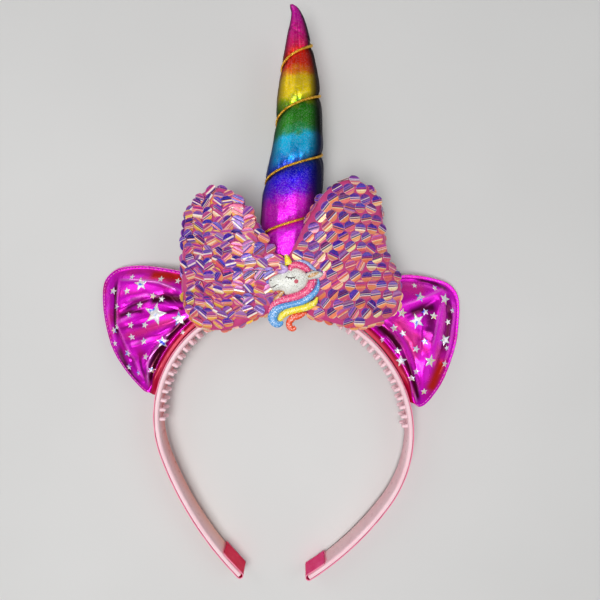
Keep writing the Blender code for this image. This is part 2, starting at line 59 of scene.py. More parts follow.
# Camera: above the middle of the picture, looking straight down
CAMERA_PLACE = (9.38 * MM, 0.35 * MM, 226.0 * MM)
CAMERA_LENS = 27.0
CAMERA_SENSOR = 36.0
PICTURE_WIDTH = 600
FOCAL_PIXELS = PICTURE_WIDTH * CAMERA_LENS / CAMERA_SENSOR

# How the flat headband lies in the row's frame: tilt, then shift
TILT = 0.0598677
SHIFT = (1.248 * MM, 0.607 * MM, 13.023 * MM)
EAR_FALL = {"left": 0.220991, "right": 0.229993}

# Headband and ribbon
BAND_SPAN = 123.0 * MM
BAND_WIDTH = 10.0 * MM
BAND_THICKNESS = 1.7 * MM
RIBBON_THICKNESS = 0.6 * MM
RIBBON_WIDTH = 9.8 * MM
RIBBON_FOLD = {"left": 13.5 * MM, "right": 10.5 * MM}
TEETH_REACH = 94.0 * MM
TOOTH_PITCH = 4.8 * MM
TOOTH_LENGTH = 2.8 * MM
TOOTH_RADIUS = 0.9 * MM
TOOTH_ROW_OFFSET = 2.6 * MM
TOOTH_SIDES = 12
BAND_RINGS = 260
OUTER_CORNER = 0.35 * MM
INNER_CORNER = 0.95 * MM
CORNER_STEPS = 6
GAP = 0.3 * MM
BAND_ARCS = {
    "left": ((0.4675, 40.9), (0.4545, 72.4), (1.354, 24.6)),
    "right": ((0.5512, 57.0), (0.4886, 64.4), (1.162, 21.7)),
}
BAND_SKEW = radians(-4.1)
PLASTIC_OUTER = RIBBON_THICKNESS + 0.05 * MM
PLASTIC_INNER = RIBBON_THICKNESS + GAP + BAND_THICKNESS
FOLD_RADIUS = BAND_THICKNESS / 2 + GAP + RIBBON_THICKNESS / 2
TIP_SETBACK = FOLD_RADIUS + RIBBON_THICKNESS / 2

# Horn: share of its length, diameter and sideways bend as shares of its diameter
HORN_LENGTH = 134.0 * MM
HORN_DIAMETER = 28.4 * MM
GROOVE_DEPTH = 1.9 * MM
CORD_DIAMETER = 1.3 * MM
CORD_CLEARANCE = 0.46 * MM
CORD_GAP = 0.10 * MM
GROOVE_WIDTH = 2.2 * MM
HORN_RINGS = 400
HORN_SIDES = 170
HORN_STATIONS = (
    (0.000, 0.860, 0.010), (0.040, 0.935, 0.035), (0.120, 0.985, 0.085), (0.250, 1.000, 0.130),
    (0.360, 0.978, 0.160), (0.430, 0.935, 0.197), (0.510, 0.850, 0.243), (0.600, 0.765, 0.266),
    (0.690, 0.708, 0.272), (0.760, 0.625, 0.276), (0.830, 0.490, 0.270), (0.900, 0.350, 0.260),
    (0.945, 0.240, 0.250), (0.975, 0.160, 0.225), (0.992, 0.115, 0.185), (1.000, 0.060, 0.155),
)
CORD_TURNS = (-0.127, 0.065, 0.257, 0.449, 0.652, 0.826, 0.985)
CORD_START = 0.45
CORD_END = 4.52

# Lengthwise creases: shares where each starts and ends, angle, width in radians, height in mm
HORN_CREASES = (
    (0.42, 0.66, 1.80, 0.07, 0.26), (0.70, 0.97, 1.52, 0.06, -0.22), (0.12, 0.36, 1.95, 0.10, 0.20),
    (0.34, 0.62, 1.30, 0.08, 0.16), (0.08, 0.30, 1.20, 0.10, -0.18), (0.66, 0.82, 1.95, 0.08, 0.18),
)

# Rainbow of the horn: pixel row of the photograph, then the colour there
HORN_TOP_HEIGHT = 28.0 * MM
RAINBOW = (
    (268, (215, 10, 205)), (235, (225, 10, 225)), (205, (220, 10, 210)), (194, (120, 5, 215)),
    (182, (50, 0, 225)), (172, (20, 20, 205)), (164, (5, 80, 200)), (150, (5, 170, 222)),
    (138, (15, 188, 232)), (131, (40, 150, 90)), (124, (40, 135, 20)), (108, (40, 135, 15)),
    (101, (150, 180, 10)), (94, (244, 214, 0)), (77, (248, 206, 0)), (71, (240, 120, 5)),
    (65, (240, 48, 8)), (48, (238, 36, 16)), (40, (238, 14, 120)), (10, (225, 6, 175)),
)

# Bow
BOW_REACH = {"left": 48.0 * MM, "right": 52.5 * MM}
BOW_HEIGHT = 66.0 * MM
BOW_THICKNESS = 4.6 * MM
BOW_OFFSET = (2.0 * MM, 6.2 * MM)
WING_END_LEVEL = 0.42
BOW_EDGE = 0.35
BOW_FULLNESS = 0.6
BOW_COLUMNS = 70
BOW_FRONT_STEPS = 56
BOW_BACK_STEPS = 28
WINGS = {
    "left": (
        (0.00, 0.180, -0.160, 0.80), (0.13, 0.250, -0.160, 0.84), (0.22, 0.370, -0.190, 0.90),
        (0.33, 0.500, -0.220, 1.00), (0.43, 0.590, -0.255, 1.00), (0.53, 0.640, -0.280, 1.00),
        (0.63, 0.660, -0.290, 0.98), (0.73, 0.645, -0.288, 0.94), (0.82, 0.610, -0.260, 0.88),
        (0.89, 0.560, -0.215, 0.78), (0.94, 0.480, -0.170, 0.66), (0.975, 0.360, -0.110, 0.50),
        (1.00, 0.060, -0.070, 0.26),
    ),
    "right": (
        (0.08, 0.290, -0.155, 0.82), (0.15, 0.405, -0.165, 0.88), (0.23, 0.520, -0.195, 0.96),
        (0.32, 0.620, -0.220, 1.00), (0.43, 0.685, -0.245, 1.00), (0.55, 0.710, -0.270, 1.00),
        (0.66, 0.685, -0.270, 0.98), (0.74, 0.630, -0.252, 0.94), (0.80, 0.545, -0.240, 0.88),
        (0.845, 0.330, -0.230, 0.80), (0.89, 0.170, -0.215, 0.70), (0.95, 0.105, -0.180, 0.56),
        (0.985, 0.050, -0.130, 0.40), (1.00, 0.000, -0.070, 0.26),
    ),
}

# Ears
EAR_BASE = 55.0 * MM
EAR_REACH = 49.0 * MM
EAR_THICKNESS = 12.0 * MM
EAR_SEAM = 1.8 * MM
EAR_SEAM_THICKNESS = 1.4 * MM
EAR_GAP = 0.45 * MM
EAR_MIDDLE = 56.0 * MM
EAR_SHOULDER = 0.34
EAR_FULLNESS = 0.55
EAR_ROOT = 0.55
EAR_ROOT_RUN = 0.22
EAR_ROLL = 3.4 * MM
EAR_STEPS = (150, 92)
EAR_INSET = 0.012
EAR_EDGE = {
    "left": (
        (0.490, -0.050), (0.505, 0.030), (0.480, 0.270), (0.410, 0.520), (0.270, 0.755),
        (0.120, 0.930), (0.000, 1.015), (-0.110, 1.010), (-0.200, 0.955), (-0.330, 0.790),
        (-0.470, 0.520), (-0.580, 0.260), (-0.590, 0.100), (-0.520, -0.050),
    ),
    "right": (
        (0.500, -0.080), (0.565, -0.050), (0.575, 0.070), (0.520, 0.310), (0.370, 0.610),
        (0.210, 0.810), (0.070, 0.940), (-0.040, 0.965), (-0.140, 0.925), (-0.300, 0.780),
        (-0.430, 0.600), (-0.560, 0.270), (-0.560, 0.100), (-0.510, -0.040),
    ),
}
SIDE_SIGN = {"left": -1, "right": 1}

# Folds of the foil on each ear's front: height and width in mm, then the crest's pixels; and the
# pixel from which fine creases fan out, with their height in mm
EAR_FOLDS = {
    "left": (
        (1.3, 2.4, ((119, 278), (140, 279), (162, 282), (180, 289))),
        (-1.1, 3.0, ((184, 296), (165, 294), (150, 297), (132, 302), (117, 311))),
        (1.3, 3.4, ((183, 306), (162, 305), (140, 309), (122, 317), (112, 328))),
        (-0.7, 2.2, ((180, 313), (160, 313), (140, 318), (122, 328))),
        (0.6, 2.4, ((182, 318), (160, 324), (138, 331), (118, 334))),
        (-0.8, 2.6, ((178, 324), (160, 333), (140, 338), (122, 342))),
        (0.9, 2.4, ((176, 329), (158, 340), (140, 346), (124, 349))),
        (-0.7, 2.2, ((172, 333), (155, 347), (140, 356), (128, 362))),
        (0.8, 2.2, ((168, 338), (153, 354), (144, 368), (138, 378))),
        (-0.9, 2.4, ((166, 344), (154, 362), (147, 378), (144, 386))),
        (0.7, 2.0, ((158, 350), (150, 368), (149, 384), (151, 391))),
        (-1.1, 2.6, ((113, 276), (111, 300), (113, 322), (120, 340), (132, 362), (146, 384))),
        (0.6, 2.2, ((118, 286), (117, 305), (116, 322), (123, 338))),
    ),
    "right": (
        (-0.9, 1.8, ((394, 281), (415, 281), (432, 284), (447, 290))),
        (1.3, 5.4, ((388, 311), (405, 304), (425, 297), (440, 292), (449, 286))),
        (-0.9, 4.6, ((398, 318), (415, 310), (430, 303), (441, 299))),
        (1.2, 5.0, ((444, 294), (438, 312), (433, 332), (430, 350), (426, 368))),
        (-0.8, 4.4, ((422, 308), (422, 325), (420, 345), (420, 362))),
        (1.0, 2.4, ((379, 320), (391, 332), (401, 346), (407, 362), (413, 382), (420, 402))),
        (-0.9, 2.2, ((385, 318), (396, 328), (407, 342), (413, 358), (418, 378), (423, 396))),
        (-1.0, 2.4, ((376, 326), (390, 340), (400, 356), (407, 374), (413, 394))),
        (-0.9, 3.0, ((449, 296), (449, 315), (446, 335), (442, 352), (436, 368))),
        (0.7, 2.4, ((455, 300), (456, 318), (452, 338), (447, 358), (438, 378))),
        (0.7, 3.0, ((424, 352), (422, 370), (423, 386), (427, 396))),
        (0.5, 2.6, ((394, 288), (412, 287), (430, 287), (442, 290))),
    ),
}
EAR_FAN = {"left": (190, 312, 0.34), "right": (380, 314, 0.10)}

# Painted tones of the foil on each ear, for its reflections, shade and highlights: what is reflected
# there, strength, width in mm, then pixels
EAR_TONES = {
    "left": (
        ("dark", 1.0, 1.2, ((111, 279), (112, 300), (112, 320), (116, 338))),
        ("dark", 0.9, 2.0, ((115, 346), (121, 362), (130, 377), (139, 388))),
        ("dark", 1.0, 2.4, ((150, 301), (166, 297), (190, 299))),
        ("dark", 0.9, 1.1, ((124, 309), (136, 303), (152, 299))),
        ("dark", 0.9, 0.9, ((156, 314), (172, 311), (188, 307))),
        ("dark", 0.95, 1.1, ((118, 316), (132, 311), (147, 310))),
        ("dark", 0.6, 0.9, ((118, 329), (132, 325), (148, 324))),
        ("dark", 1.0, 1.9, ((192, 316), (178, 328), (166, 341))),
        ("dark", 1.0, 3.2, ((169, 338), (160, 352), (155, 366), (153, 388))),
        ("dark", 0.7, 0.8, ((141, 356), (145, 370), (146, 386))),
        ("warm", 1.0, 2.9, ((146, 274), (166, 275), (192, 280))),
        ("warm", 0.5, 1.6, ((118, 272), (140, 270), (160, 271))),
        ("pink", 0.9, 2.4, ((122, 337), (140, 332), (160, 324), (180, 317))),
        ("pink", 0.5, 2.0, ((118, 290), (136, 291), (156, 287))),
        ("vivid_highlight", 0.8, 1.8, ((118, 287), (144, 287), (178, 294))),
        ("vivid_highlight", 0.9, 0.9, ((117, 303), (130, 296), (150, 293))),
        ("vivid_highlight", 0.9, 1.4, ((117, 322), (132, 314), (158, 306), (184, 303))),
        ("vivid_highlight", 0.8, 1.2, ((115, 332), (126, 325), (150, 319), (182, 314))),
        ("vivid_highlight", 1.0, 1.5, ((134, 350), (141, 368), (148, 386))),
        ("vivid_highlight", 0.9, 1.1, ((174, 327), (160, 340), (146, 356), (142, 372))),
        ("pale", 1.0, 0.55, ((117, 279), (140, 279), (160, 282), (181, 290))),
        ("pale", 0.5, 0.6, ((128, 300), (146, 294), (160, 295))),
        ("pale", 0.6, 0.5, ((113, 325), (121, 320), (136, 314))),
        ("pale", 0.5, 0.5, ((130, 344), (142, 341), (154, 337))),
        ("pale", 0.8, 0.45, ((172, 332), (158, 347), (150, 362), (149, 386))),
    ),
    "right": (
        ("dark", 0.9, 1.0, ((418, 279), (440, 283), (453, 290))),
        ("dark", 1.0, 2.2, ((374, 322), (390, 336), (400, 350))),
        ("dark", 1.0, 1.3, ((400, 350), (409, 370), (415, 388), (419, 402))),
        ("dark", 0.95, 2.4, ((408, 314), (423, 308), (437, 306))),
        ("dark", 0.8, 3.0, ((430, 310), (430, 326), (425, 344))),
        ("dark", 0.95, 1.8, ((451, 296), (453, 318), (449, 338), (444, 354))),
        ("warm", 1.0, 3.6, ((446, 358), (438, 376), (430, 394))),
        ("pink", 0.9, 5.0, ((390, 318), (402, 332), (412, 348), (416, 364))),
        ("pink", 0.8, 3.2, ((398, 288), (412, 288), (428, 290))),
        ("vivid_highlight", 1.0, 2.2, ((388, 312), (404, 306), (426, 298), (449, 288))),
        ("vivid_highlight", 1.0, 2.0, ((444, 300), (439, 320), (433, 344), (427, 366))),
        ("vivid_highlight", 0.9, 2.8, ((420, 350), (424, 366), (426, 382))),
        ("vivid_highlight", 0.8, 1.2, ((386, 320), (400, 336), (410, 356), (419, 388))),
        ("pale", 0.9, 0.4, ((402, 364), (410, 384), (417, 402))),
        ("pale", 0.5, 0.5, ((402, 304), (426, 296), (447, 288))),
        ("pale", 0.4, 0.5, ((443, 302), (437, 322), (432, 344))),
    ),
}

# Printed stars on each ear's front: pixel across and down, radius in pixels
STAR_WAIST = 0.42
EAR_STARS = {
    "left": (
        (155.5, 314, 12), (141, 284, 7.5), (179, 319, 8), (162.5, 342, 6.5), (113, 291, 4.2),
        (127, 291, 4), (110, 276, 3.8), (132, 277, 3.2), (161, 279, 3.6), (178, 281, 3.4),
        (153, 296, 3.6), (162, 299, 3.6), (140, 305, 3.8), (116.5, 306.5, 4), (129, 315, 3.2),
        (131, 325, 3.6), (145, 325, 3.8), (117, 327, 3.2), (113.8, 330.5, 4), (132, 337, 3.8),
        (144, 341, 4), (114.5, 343.5, 3.4), (128, 353, 4.2), (146, 356.5, 3.6), (129, 367, 3.4),
        (151.5, 370, 3.8), (139, 372.5, 3.2), (133.5, 377, 4.4), (183, 332, 3), (103, 294, 3),
    ),
    "right": (
        (417, 321, 8.5), (420, 297, 5.6), (445, 299, 6.4), (445, 340, 6.4), (430, 361, 7.2),
        (436, 386, 8), (401, 361, 6), (414.5, 285.5, 3.2), (435, 288, 3.4), (402, 313, 5.2),
        (425, 312, 4.2), (434, 316, 4.2), (453, 310.5, 3.4), (448, 322, 3.6), (394, 328, 4.4),
        (403, 333.5, 4), (425, 341.5, 4), (416, 349, 4.2), (447, 348, 3), (397.5, 351, 4),
        (416, 371.5, 3.6), (445, 364, 4), (412, 378.5, 3.8), (424, 391.5, 3.8), (382, 339.5, 3),
    ),
}

# Cast head: height of its middle, thickness of its base, and its lower end's place up the picture
# and height; then strokes, each point across and down and half the width there, in pixels
CHARM_LEVEL = 31.2 * MM
CHARM_BASE = 0.9 * MM
CHARM_FOOT = (-13.94 * MM, 30.95 * MM)
CHARM_STROKES = (
    ("pink_mane", "pink", 0.9, ((315.6, 279.6, 1.2), (311.9, 283.2, 3.3), (307.8, 290.0, 3.6),
                                (300.5, 294.9, 3.5), (291.4, 297.6, 3.3), (281.0, 300.4, 3.1),
                                (273.6, 304.4, 2.6), (269.6, 310.0, 1.6), (268.6, 314.5, 0.6))),
    ("blue_mane", "blue", 1.1, ((318.4, 279.0, 0.7), (318.4, 284.4, 1.4), (316.0, 291.0, 2.5),
                                (309.6, 297.0, 3.0), (301.0, 302.0, 3.0), (291.4, 304.6, 2.9),
                                (281.6, 306.9, 3.3), (274.8, 311.4, 4.2), (272.4, 317.6, 4.3),
                                (274.6, 322.9, 3.6), (279.2, 324.4, 2.8), (282.6, 321.6, 1.2))),
    ("yellow_mane", "yellow", 1.0, ((317.6, 297.2, 0.9), (314.2, 303.0, 2.6), (307.0, 307.0, 3.2),
                                    (297.4, 309.4, 3.1), (288.4, 311.8, 3.2), (282.2, 315.6, 3.0),
                                    (279.2, 320.6, 2.0))),
    ("orange_mane", "orange", 0.8, ((306.8, 312.8, 0.8), (300.0, 315.6, 2.7), (293.2, 317.8, 3.1),
                                    (289.2, 322.4, 2.8), (289.8, 327.4, 2.8), (293.4, 329.0, 2.3),
                                    (295.4, 326.8, 1.3))),
    ("crest", "pale_blue", 0.7, ((293.4, 261.6, 0.5), (301.0, 260.7, 1.2), (307.4, 263.2, 1.6),
                                 (312.2, 267.2, 1.7), (316.2, 270.4, 0.8))),
    ("fringe", "pink", 1.5, ((291.2, 271.4, 1.0), (290.6, 267.4, 2.5), (295.0, 264.4, 2.9),
                             (301.2, 265.4, 3.1), (306.8, 268.6, 2.9), (310.0, 270.6, 1.0))),
    ("lilac_tuft", "lilac", 1.8, ((281.2, 263.4, 0.4), (282.6, 266.4, 2.0), (285.8, 269.0, 2.6),
                                  (282.6, 271.4, 2.2), (278.2, 271.8, 0.9))),
    ("horn", "yellow", 1.2, ((288.9, 264.6, 3.6), (287.6, 259.8, 2.8), (285.7, 254.3, 1.3))),
    ("neck_shade", "tan", 0.55, ((283.6, 290.8, 1.0), (280.6, 294.2, 1.8), (276.4, 298.0, 1.8),
                                 (273.0, 301.6, 0.8))),
)
CHARM_HEAD = (
    (268.8, 279.3), (271.6, 276.8), (275.2, 275.0), (279.2, 273.1), (283.6, 270.8), (288.4, 268.8),
    (292.6, 267.6), (297.0, 267.4), (301.6, 269.0), (305.2, 272.0), (308.0, 275.6), (308.4, 279.6),
    (307.0, 284.0), (303.6, 288.2), (297.6, 291.8), (291.4, 294.0), (285.6, 294.6), (283.6, 291.8),
    (279.2, 290.4), (273.4, 290.9), (270.8, 288.8), (268.9, 285.2), (268.2, 281.8),
)
CHARM_EAR = (
    (306.4, 273.4), (311.6, 270.9), (317.2, 270.6), (323.4, 273.2), (320.6, 277.2), (314.8, 278.9),
    (308.6, 279.4),
)
CHARM_EAR_INSIDE = (
    (308.4, 275.8), (312.6, 273.4), (318.4, 272.8), (315.4, 275.6), (310.2, 277.4),
)
CHARM_LINES = (
    ("eyelid", 0.42, ((285.8, 275.9), (287.6, 277.3), (290.8, 278.0), (293.8, 277.5), (296.0, 276.4))),
    ("lash_one", 0.34, ((286.6, 276.8), (285.4, 278.0))),
    ("lash_two", 0.34, ((288.8, 277.8), (288.3, 279.4))),
    ("lash_three", 0.34, ((291.2, 278.0), (291.3, 279.7))),
    ("lash_four", 0.34, ((293.8, 277.5), (294.8, 279.0))),
    ("mouth", 0.34, ((270.4, 287.6), (272.6, 287.0), (274.8, 286.2), (276.6, 284.9), (278.6, 284.9))),
    ("nostril", 0.62, ((270.4, 280.6), (271.6, 280.0))),
)
CHARM_CHEEK = (296.2, 281.4, 2.1)

# Glitter colours of the cast head
GLITTER = {
    "white": (230, 230, 220),
    "pink": (240, 62, 124),
    "blue": (84, 160, 228),
    "pale_blue": (140, 160, 220),
    "yellow": (252, 230, 20),
    "orange": (246, 78, 18),
    "lilac": (204, 166, 232),
    "tan": (206, 150, 84),
}

# Sequin colours: the film's own colours and those of its painted reflections and highlight
NAVY = (22, 14, 112)
BLUE = (46, 36, 170)
VIOLET = (88, 38, 148)
LILAC = (156, 96, 176)
PURPLE = (92, 20, 92)
WHITE = (255, 236, 226)
RIM = (255, 186, 206)
CREAM = (252, 224, 170)
YELLOW = (250, 206, 62)
PEACH = (240, 142, 92)
CORAL = (226, 104, 96)
ROSE = (206, 74, 132)


def unit(angle):
    """Direction at an angle from +X, in the plane."""
    return Vector((cos(angle), sin(angle)))


def mix(a, b, share):
    """Value a share of the way from a to b."""
    return a + (b - a) * share


def smooth_step(share):
    """Eased share from 0 to 1."""
    share = min(1.0, max(0.0, share))
    return share * share * (3.0 - 2.0 * share)


def table_at(rows, place):
    """Columns of a table at a place in its first column, on a smooth curve through its rows."""
    place = min(rows[-1][0], max(rows[0][0], place))
    last = len(rows) - 1
    index = 0
    while index < last - 1 and place > rows[index + 1][0]:
        index += 1
    low, high = rows[index], rows[index + 1]
    span = high[0] - low[0]
    share = (place - low[0]) / span
    before, after = rows[max(0, index - 1)], rows[min(last, index + 2)]
    values = []
    for column in range(1, len(low)):
        rise_low = (high[column] - before[column]) / (high[0] - before[0]) * span
        rise_high = (after[column] - low[column]) / (after[0] - low[0]) * span
        values.append(
            low[column] * (2 * share**3 - 3 * share**2 + 1)
            + rise_low * (share**3 - 2 * share**2 + share)
            + high[column] * (3 * share**2 - 2 * share**3)
            + rise_high * (share**3 - share**2)
        )
    return values


def run_at(rows, share):
    """Point of a smooth curve through rows that are evenly counted, at a share of its run."""
    numbered = [(float(number), *row) for number, row in enumerate(rows)]
    return table_at(numbered, share * (len(rows) - 1))


def at_pixel(across, down, height):
    """Point at a height that the camera sees at a pixel of the photograph."""
    reach = (CAMERA_PLACE[2] - height) / FOCAL_PIXELS
    x = CAMERA_PLACE[0] + (across - PICTURE_WIDTH / 2) * reach
    y = CAMERA_PLACE[1] + (PICTURE_WIDTH / 2 - down) * reach
    return Vector((x, y, height))


def placed(point):
    """Point of the flat headband where it lies in the row's frame."""
    x, y, z = point
    return Vector((
        x + SHIFT[0],
        y * cos(TILT) - z * sin(TILT) + SHIFT[1],
        y * sin(TILT) + z * cos(TILT) + SHIFT[2],
    ))


def colour(screen):
    """Linear colour of a screen colour from 0 to 255."""
    shares = [value / 255 for value in screen]
    return tuple(s / 12.92 if s <= 0.04045 else ((s + 0.055) / 1.055) ** 2.4 for s in shares)


class Shading:
    """A material with a Principled shader, and short ways to add nodes to it."""

    def __init__(self, name, base=(200, 200, 200), **settings):
        self.material = bpy.data.materials.new(name)
        self.material.use_nodes = True
        self.nodes = self.material.node_tree.nodes
        self.links = self.material.node_tree.links
        self.shader = self.nodes["Principled BSDF"]
        self.shader.inputs["Base Color"].default_value = (*colour(base), 1.0)
        for key, value in settings.items():
            self.shader.inputs[key.replace("_", " ")].default_value = value
        self.place = self.nodes.new("ShaderNodeTexCoord").outputs["Object"]

    def link(self, source, target):
        self.links.new(source, target)

    def noise(self, scale, detail=3.0, stretch=None, roughness=0.5):
        """Noise pattern in the row's frame."""
        node = self.nodes.new("ShaderNodeTexNoise")
        node.inputs["Scale"].default_value = scale
        node.inputs["Detail"].default_value = detail
        node.inputs["Roughness"].default_value = roughness
        place = self.place
        if stretch:
            mapping = self.nodes.new("ShaderNodeMapping")
            mapping.inputs["Scale"].default_value = stretch
            self.link(place, mapping.inputs["Vector"])
            place = mapping.outputs["Vector"]
        self.link(place, node.inputs["Vector"])
        return node.outputs["Fac"]

    def cells(self, scale, output="Distance"):
        """Cell pattern in the row's frame."""
        node = self.nodes.new("ShaderNodeTexVoronoi")
        node.inputs["Scale"].default_value = scale
        self.link(self.place, node.inputs["Vector"])
        return node.outputs[output]

    def wave(self, scale, direction="X", distortion=0.0):
        """Stripes in the row's frame."""
        node = self.nodes.new("ShaderNodeTexWave")
        node.bands_direction = direction
        node.inputs["Scale"].default_value = scale
        node.inputs["Distortion"].default_value = distortion
        self.link(self.place, node.inputs["Vector"])
        return node.outputs["Fac"]

    def attribute(self, name, output="Fac"):
        """Value kept on the mesh's points."""
        node = self.nodes.new("ShaderNodeAttribute")
        node.attribute_name = name
        return node.outputs[output]

    def parts(self, source, kind="XYZ"):
        """The three numbers of a place or, as Color, of a colour."""
        node = self.nodes.new("ShaderNodeSeparate" + kind)
        self.link(source, node.inputs[0])
        return node.outputs

    def ramp(self, factor, stops):
        """Colours along a factor: rows of place and screen colour."""
        node = self.nodes.new("ShaderNodeValToRGB")
        elements = node.color_ramp.elements
        for index, (place, screen) in enumerate(stops):
            element = elements[index] if index < 2 else elements.new(place)
            element.position = place
            element.color = (*colour(screen), 1.0)
        self.link(factor, node.inputs["Fac"])
        return node.outputs["Color"]

    def spread(self, factor, low, high, to_low=0.0, to_high=1.0):
        """Factor brought from one span to another."""
        node = self.nodes.new("ShaderNodeMapRange")
        spans = {"From Min": low, "From Max": high, "To Min": to_low, "To Max": to_high}
        for key, value in spans.items():
            node.inputs[key].default_value = value
        self.link(factor, node.inputs["Value"])
        return node.outputs["Result"]

    def blend(self, factor, first, second, kind="MIX"):
        """Two colours mixed; each is a socket or a screen colour, the factor a socket or number."""
        node = self.nodes.new("ShaderNodeMix")
        node.data_type = "RGBA"
        node.blend_type = kind
        for socket, value in ((0, factor), (6, first), (7, second)):
            if isinstance(value, tuple):
                node.inputs[socket].default_value = (*colour(value), 1.0)
            elif isinstance(value, float):
                node.inputs[socket].default_value = value
            else:
                self.link(value, node.inputs[socket])
        return node.outputs[2]

    def sum(self, first, second, kind="ADD"):
        """Two values added, or combined in another way."""
        node = self.nodes.new("ShaderNodeMath")
        node.operation = kind
        for index, value in enumerate((first, second)):
            if isinstance(value, float):
                node.inputs[index].default_value = value
            else:
                self.link(value, node.inputs[index])
        return node.outputs[0]

    def bump(self, height, strength, distance):
        """Surface relief; a second call goes on top of the first."""
        node = self.nodes.new("ShaderNodeBump")
        node.inputs["Strength"].default_value = strength
        node.inputs["Distance"].default_value = distance
        self.link(height, node.inputs["Height"])
        normal = self.shader.inputs["Normal"]
        if normal.is_linked:
            self.link(normal.links[0].from_socket, node.inputs["Normal"])
        self.link(node.outputs["Normal"], normal)

    def base(self, socket):
        self.link(socket, self.shader.inputs["Base Color"])

    def rough(self, socket):
        self.link(socket, self.shader.inputs["Roughness"])


def plastic_finish():
    """Pale pink moulded plastic, a little cloudy, with painted shade and warm reflection low on the inner
    face.
    """
    shading = Shading(
        "pale pink plastic", Roughness=0.36, Subsurface_Weight=0.08, Specular_IOR_Level=0.22
    )
    shading.shader.inputs["Subsurface Radius"].default_value = (2.5 * MM, 1.2 * MM, 1.2 * MM)
    cloud = shading.noise(90.0, 4.0)
    edge = shading.ramp(cloud, ((0.3, (246, 204, 212)), (0.7, (250, 216, 222))))
    axes = shading.parts(shading.place)
    across = shading.spread(axes["X"], -20 * MM, 20 * MM)
    # Painted shade and warm reflection on the inner face: darker and warmer on the left arm and higher up
    # the arms
    upper = shading.blend(across, (220, 90, 80), (226, 146, 162))
    lower = shading.blend(across, (250, 190, 172), (250, 206, 208))
    low = shading.blend(shading.spread(axes["Y"], -50 * MM, -112 * MM), upper, lower)
    shading.base(shading.blend(shading.attribute("shade"), edge, low))
    shading.rough(shading.spread(shading.noise(420.0, 3.0), 0.3, 0.7, 0.26, 0.33))
    return shading.material


def satin_finish():
    """Hot pink satin ribbon with a fine cross rib, its edges and cut fibres paler as a painted highlight.
    """
    shading = Shading(
        "hot pink satin", Roughness=0.4, Sheen_Weight=0.03, Sheen_Roughness=0.3, Specular_IOR_Level=0.12
    )
    cloud = shading.noise(240.0, 4.0)
    axes = shading.parts(shading.place)
    left = shading.ramp(cloud, ((0.25, (232, 14, 62)), (0.75, (248, 44, 92))))
    right = shading.ramp(cloud, ((0.25, (244, 34, 116)), (0.75, (255, 78, 150))))
    both = shading.blend(shading.spread(axes["X"], -20 * MM, 20 * MM), left, right)
    # Painted highlight: the ribbon's edges and cut fibres paler, as if catching light
    shading.base(shading.blend(shading.attribute("selvage"), both, (250, 140, 172)))
    shading.rough(shading.spread(shading.noise(900.0, 2.0), 0.3, 0.7, 0.3, 0.46))
    shading.bump(shading.wave(900.0, "Z"), 0.25, 0.1 * MM)
    shading.bump(shading.noise(1500.0, 2.0), 0.3, 0.1 * MM)
    return shading.material


def lame_finish():
    """Rainbow lame: metallic cloth with a fine crackled grain, its colours changing along the horn,
    painted shade on its flanks.
    """
    shading = Shading("rainbow lame", Metallic=0.66, Roughness=0.34, Specular_IOR_Level=0.3)
    shading.shader.inputs["Specular Tint"].default_value = (0.3, 0.26, 0.36, 1.0)
    axes = shading.parts(shading.place)
    wander = shading.spread(shading.noise(210.0, 4.0), 0.2, 0.8, -2.6 * MM, 2.6 * MM)
    slant = shading.sum(axes["X"], -0.10, "MULTIPLY")
    along = shading.sum(shading.sum(axes["Y"], wander), slant)
    rows = [(at_pixel(290, row, HORN_TOP_HEIGHT).y, screen) for row, screen in RAINBOW]
    low, high = rows[0][0], rows[-1][0]
    stops = [((y - low) / (high - low), screen) for y, screen in rows]
    bands = shading.ramp(shading.spread(along, low, high), stops)
    speck = shading.parts(shading.cells(2600.0, "Color"), "Color")
    light = shading.spread(speck["Red"], 0.4, 1.0, 0.0, 0.2)
    lit = shading.blend(light, bands, shading.blend(0.5, bands, (255, 235, 250)))
    # Painted shade: the flanks darkened, standing for the dark surroundings they mirror
    shading.base(shading.blend(shading.attribute("flank_shade"), lit, (48, 44, 72), "MULTIPLY"))
    shading.rough(shading.spread(shading.noise(1100.0, 3.0), 0.3, 0.7, 0.27, 0.42))
    shading.bump(shading.cells(2300.0, "Distance"), 0.45, 0.14 * MM)
    shading.bump(shading.noise(800.0, 4.0, roughness=0.6), 0.3, 0.2 * MM)
    return shading.material


def gold_finish():
    """Gold lurex strands."""
    shading = Shading("gold cord", Metallic=0.9, Roughness=0.3)
    shading.base(shading.ramp(shading.noise(900.0, 3.0), ((0.3, (214, 142, 24)), (0.7, (255, 214, 84)))))
    shading.bump(shading.wave(2600.0, "DIAGONAL"), 0.4, 0.1 * MM)
    shading.rough(shading.spread(shading.noise(2200.0, 2.0), 0.3, 0.7, 0.22, 0.45))
    return shading.material


def bow_cloth_finish():
    """Pink knitted backing of the sequins."""
    shading = Shading("pink bow cloth", Roughness=0.55, Sheen_Weight=0.4, Sheen_Roughness=0.4)
    weave = shading.sum(shading.wave(1500.0, "X", 1.0), shading.wave(1500.0, "Y", 1.0), "MULTIPLY")
    tone = shading.blend(shading.noise(160.0, 5.0), (190, 38, 112), (226, 74, 146))
    shading.base(shading.blend(shading.spread(weave, 0.0, 1.0, 0.0, 0.5), tone, (158, 26, 100)))
    shading.bump(weave, 0.45, 0.18 * MM)
    shading.bump(shading.noise(700.0, 4.0), 0.3, 0.2 * MM)
    return shading.material


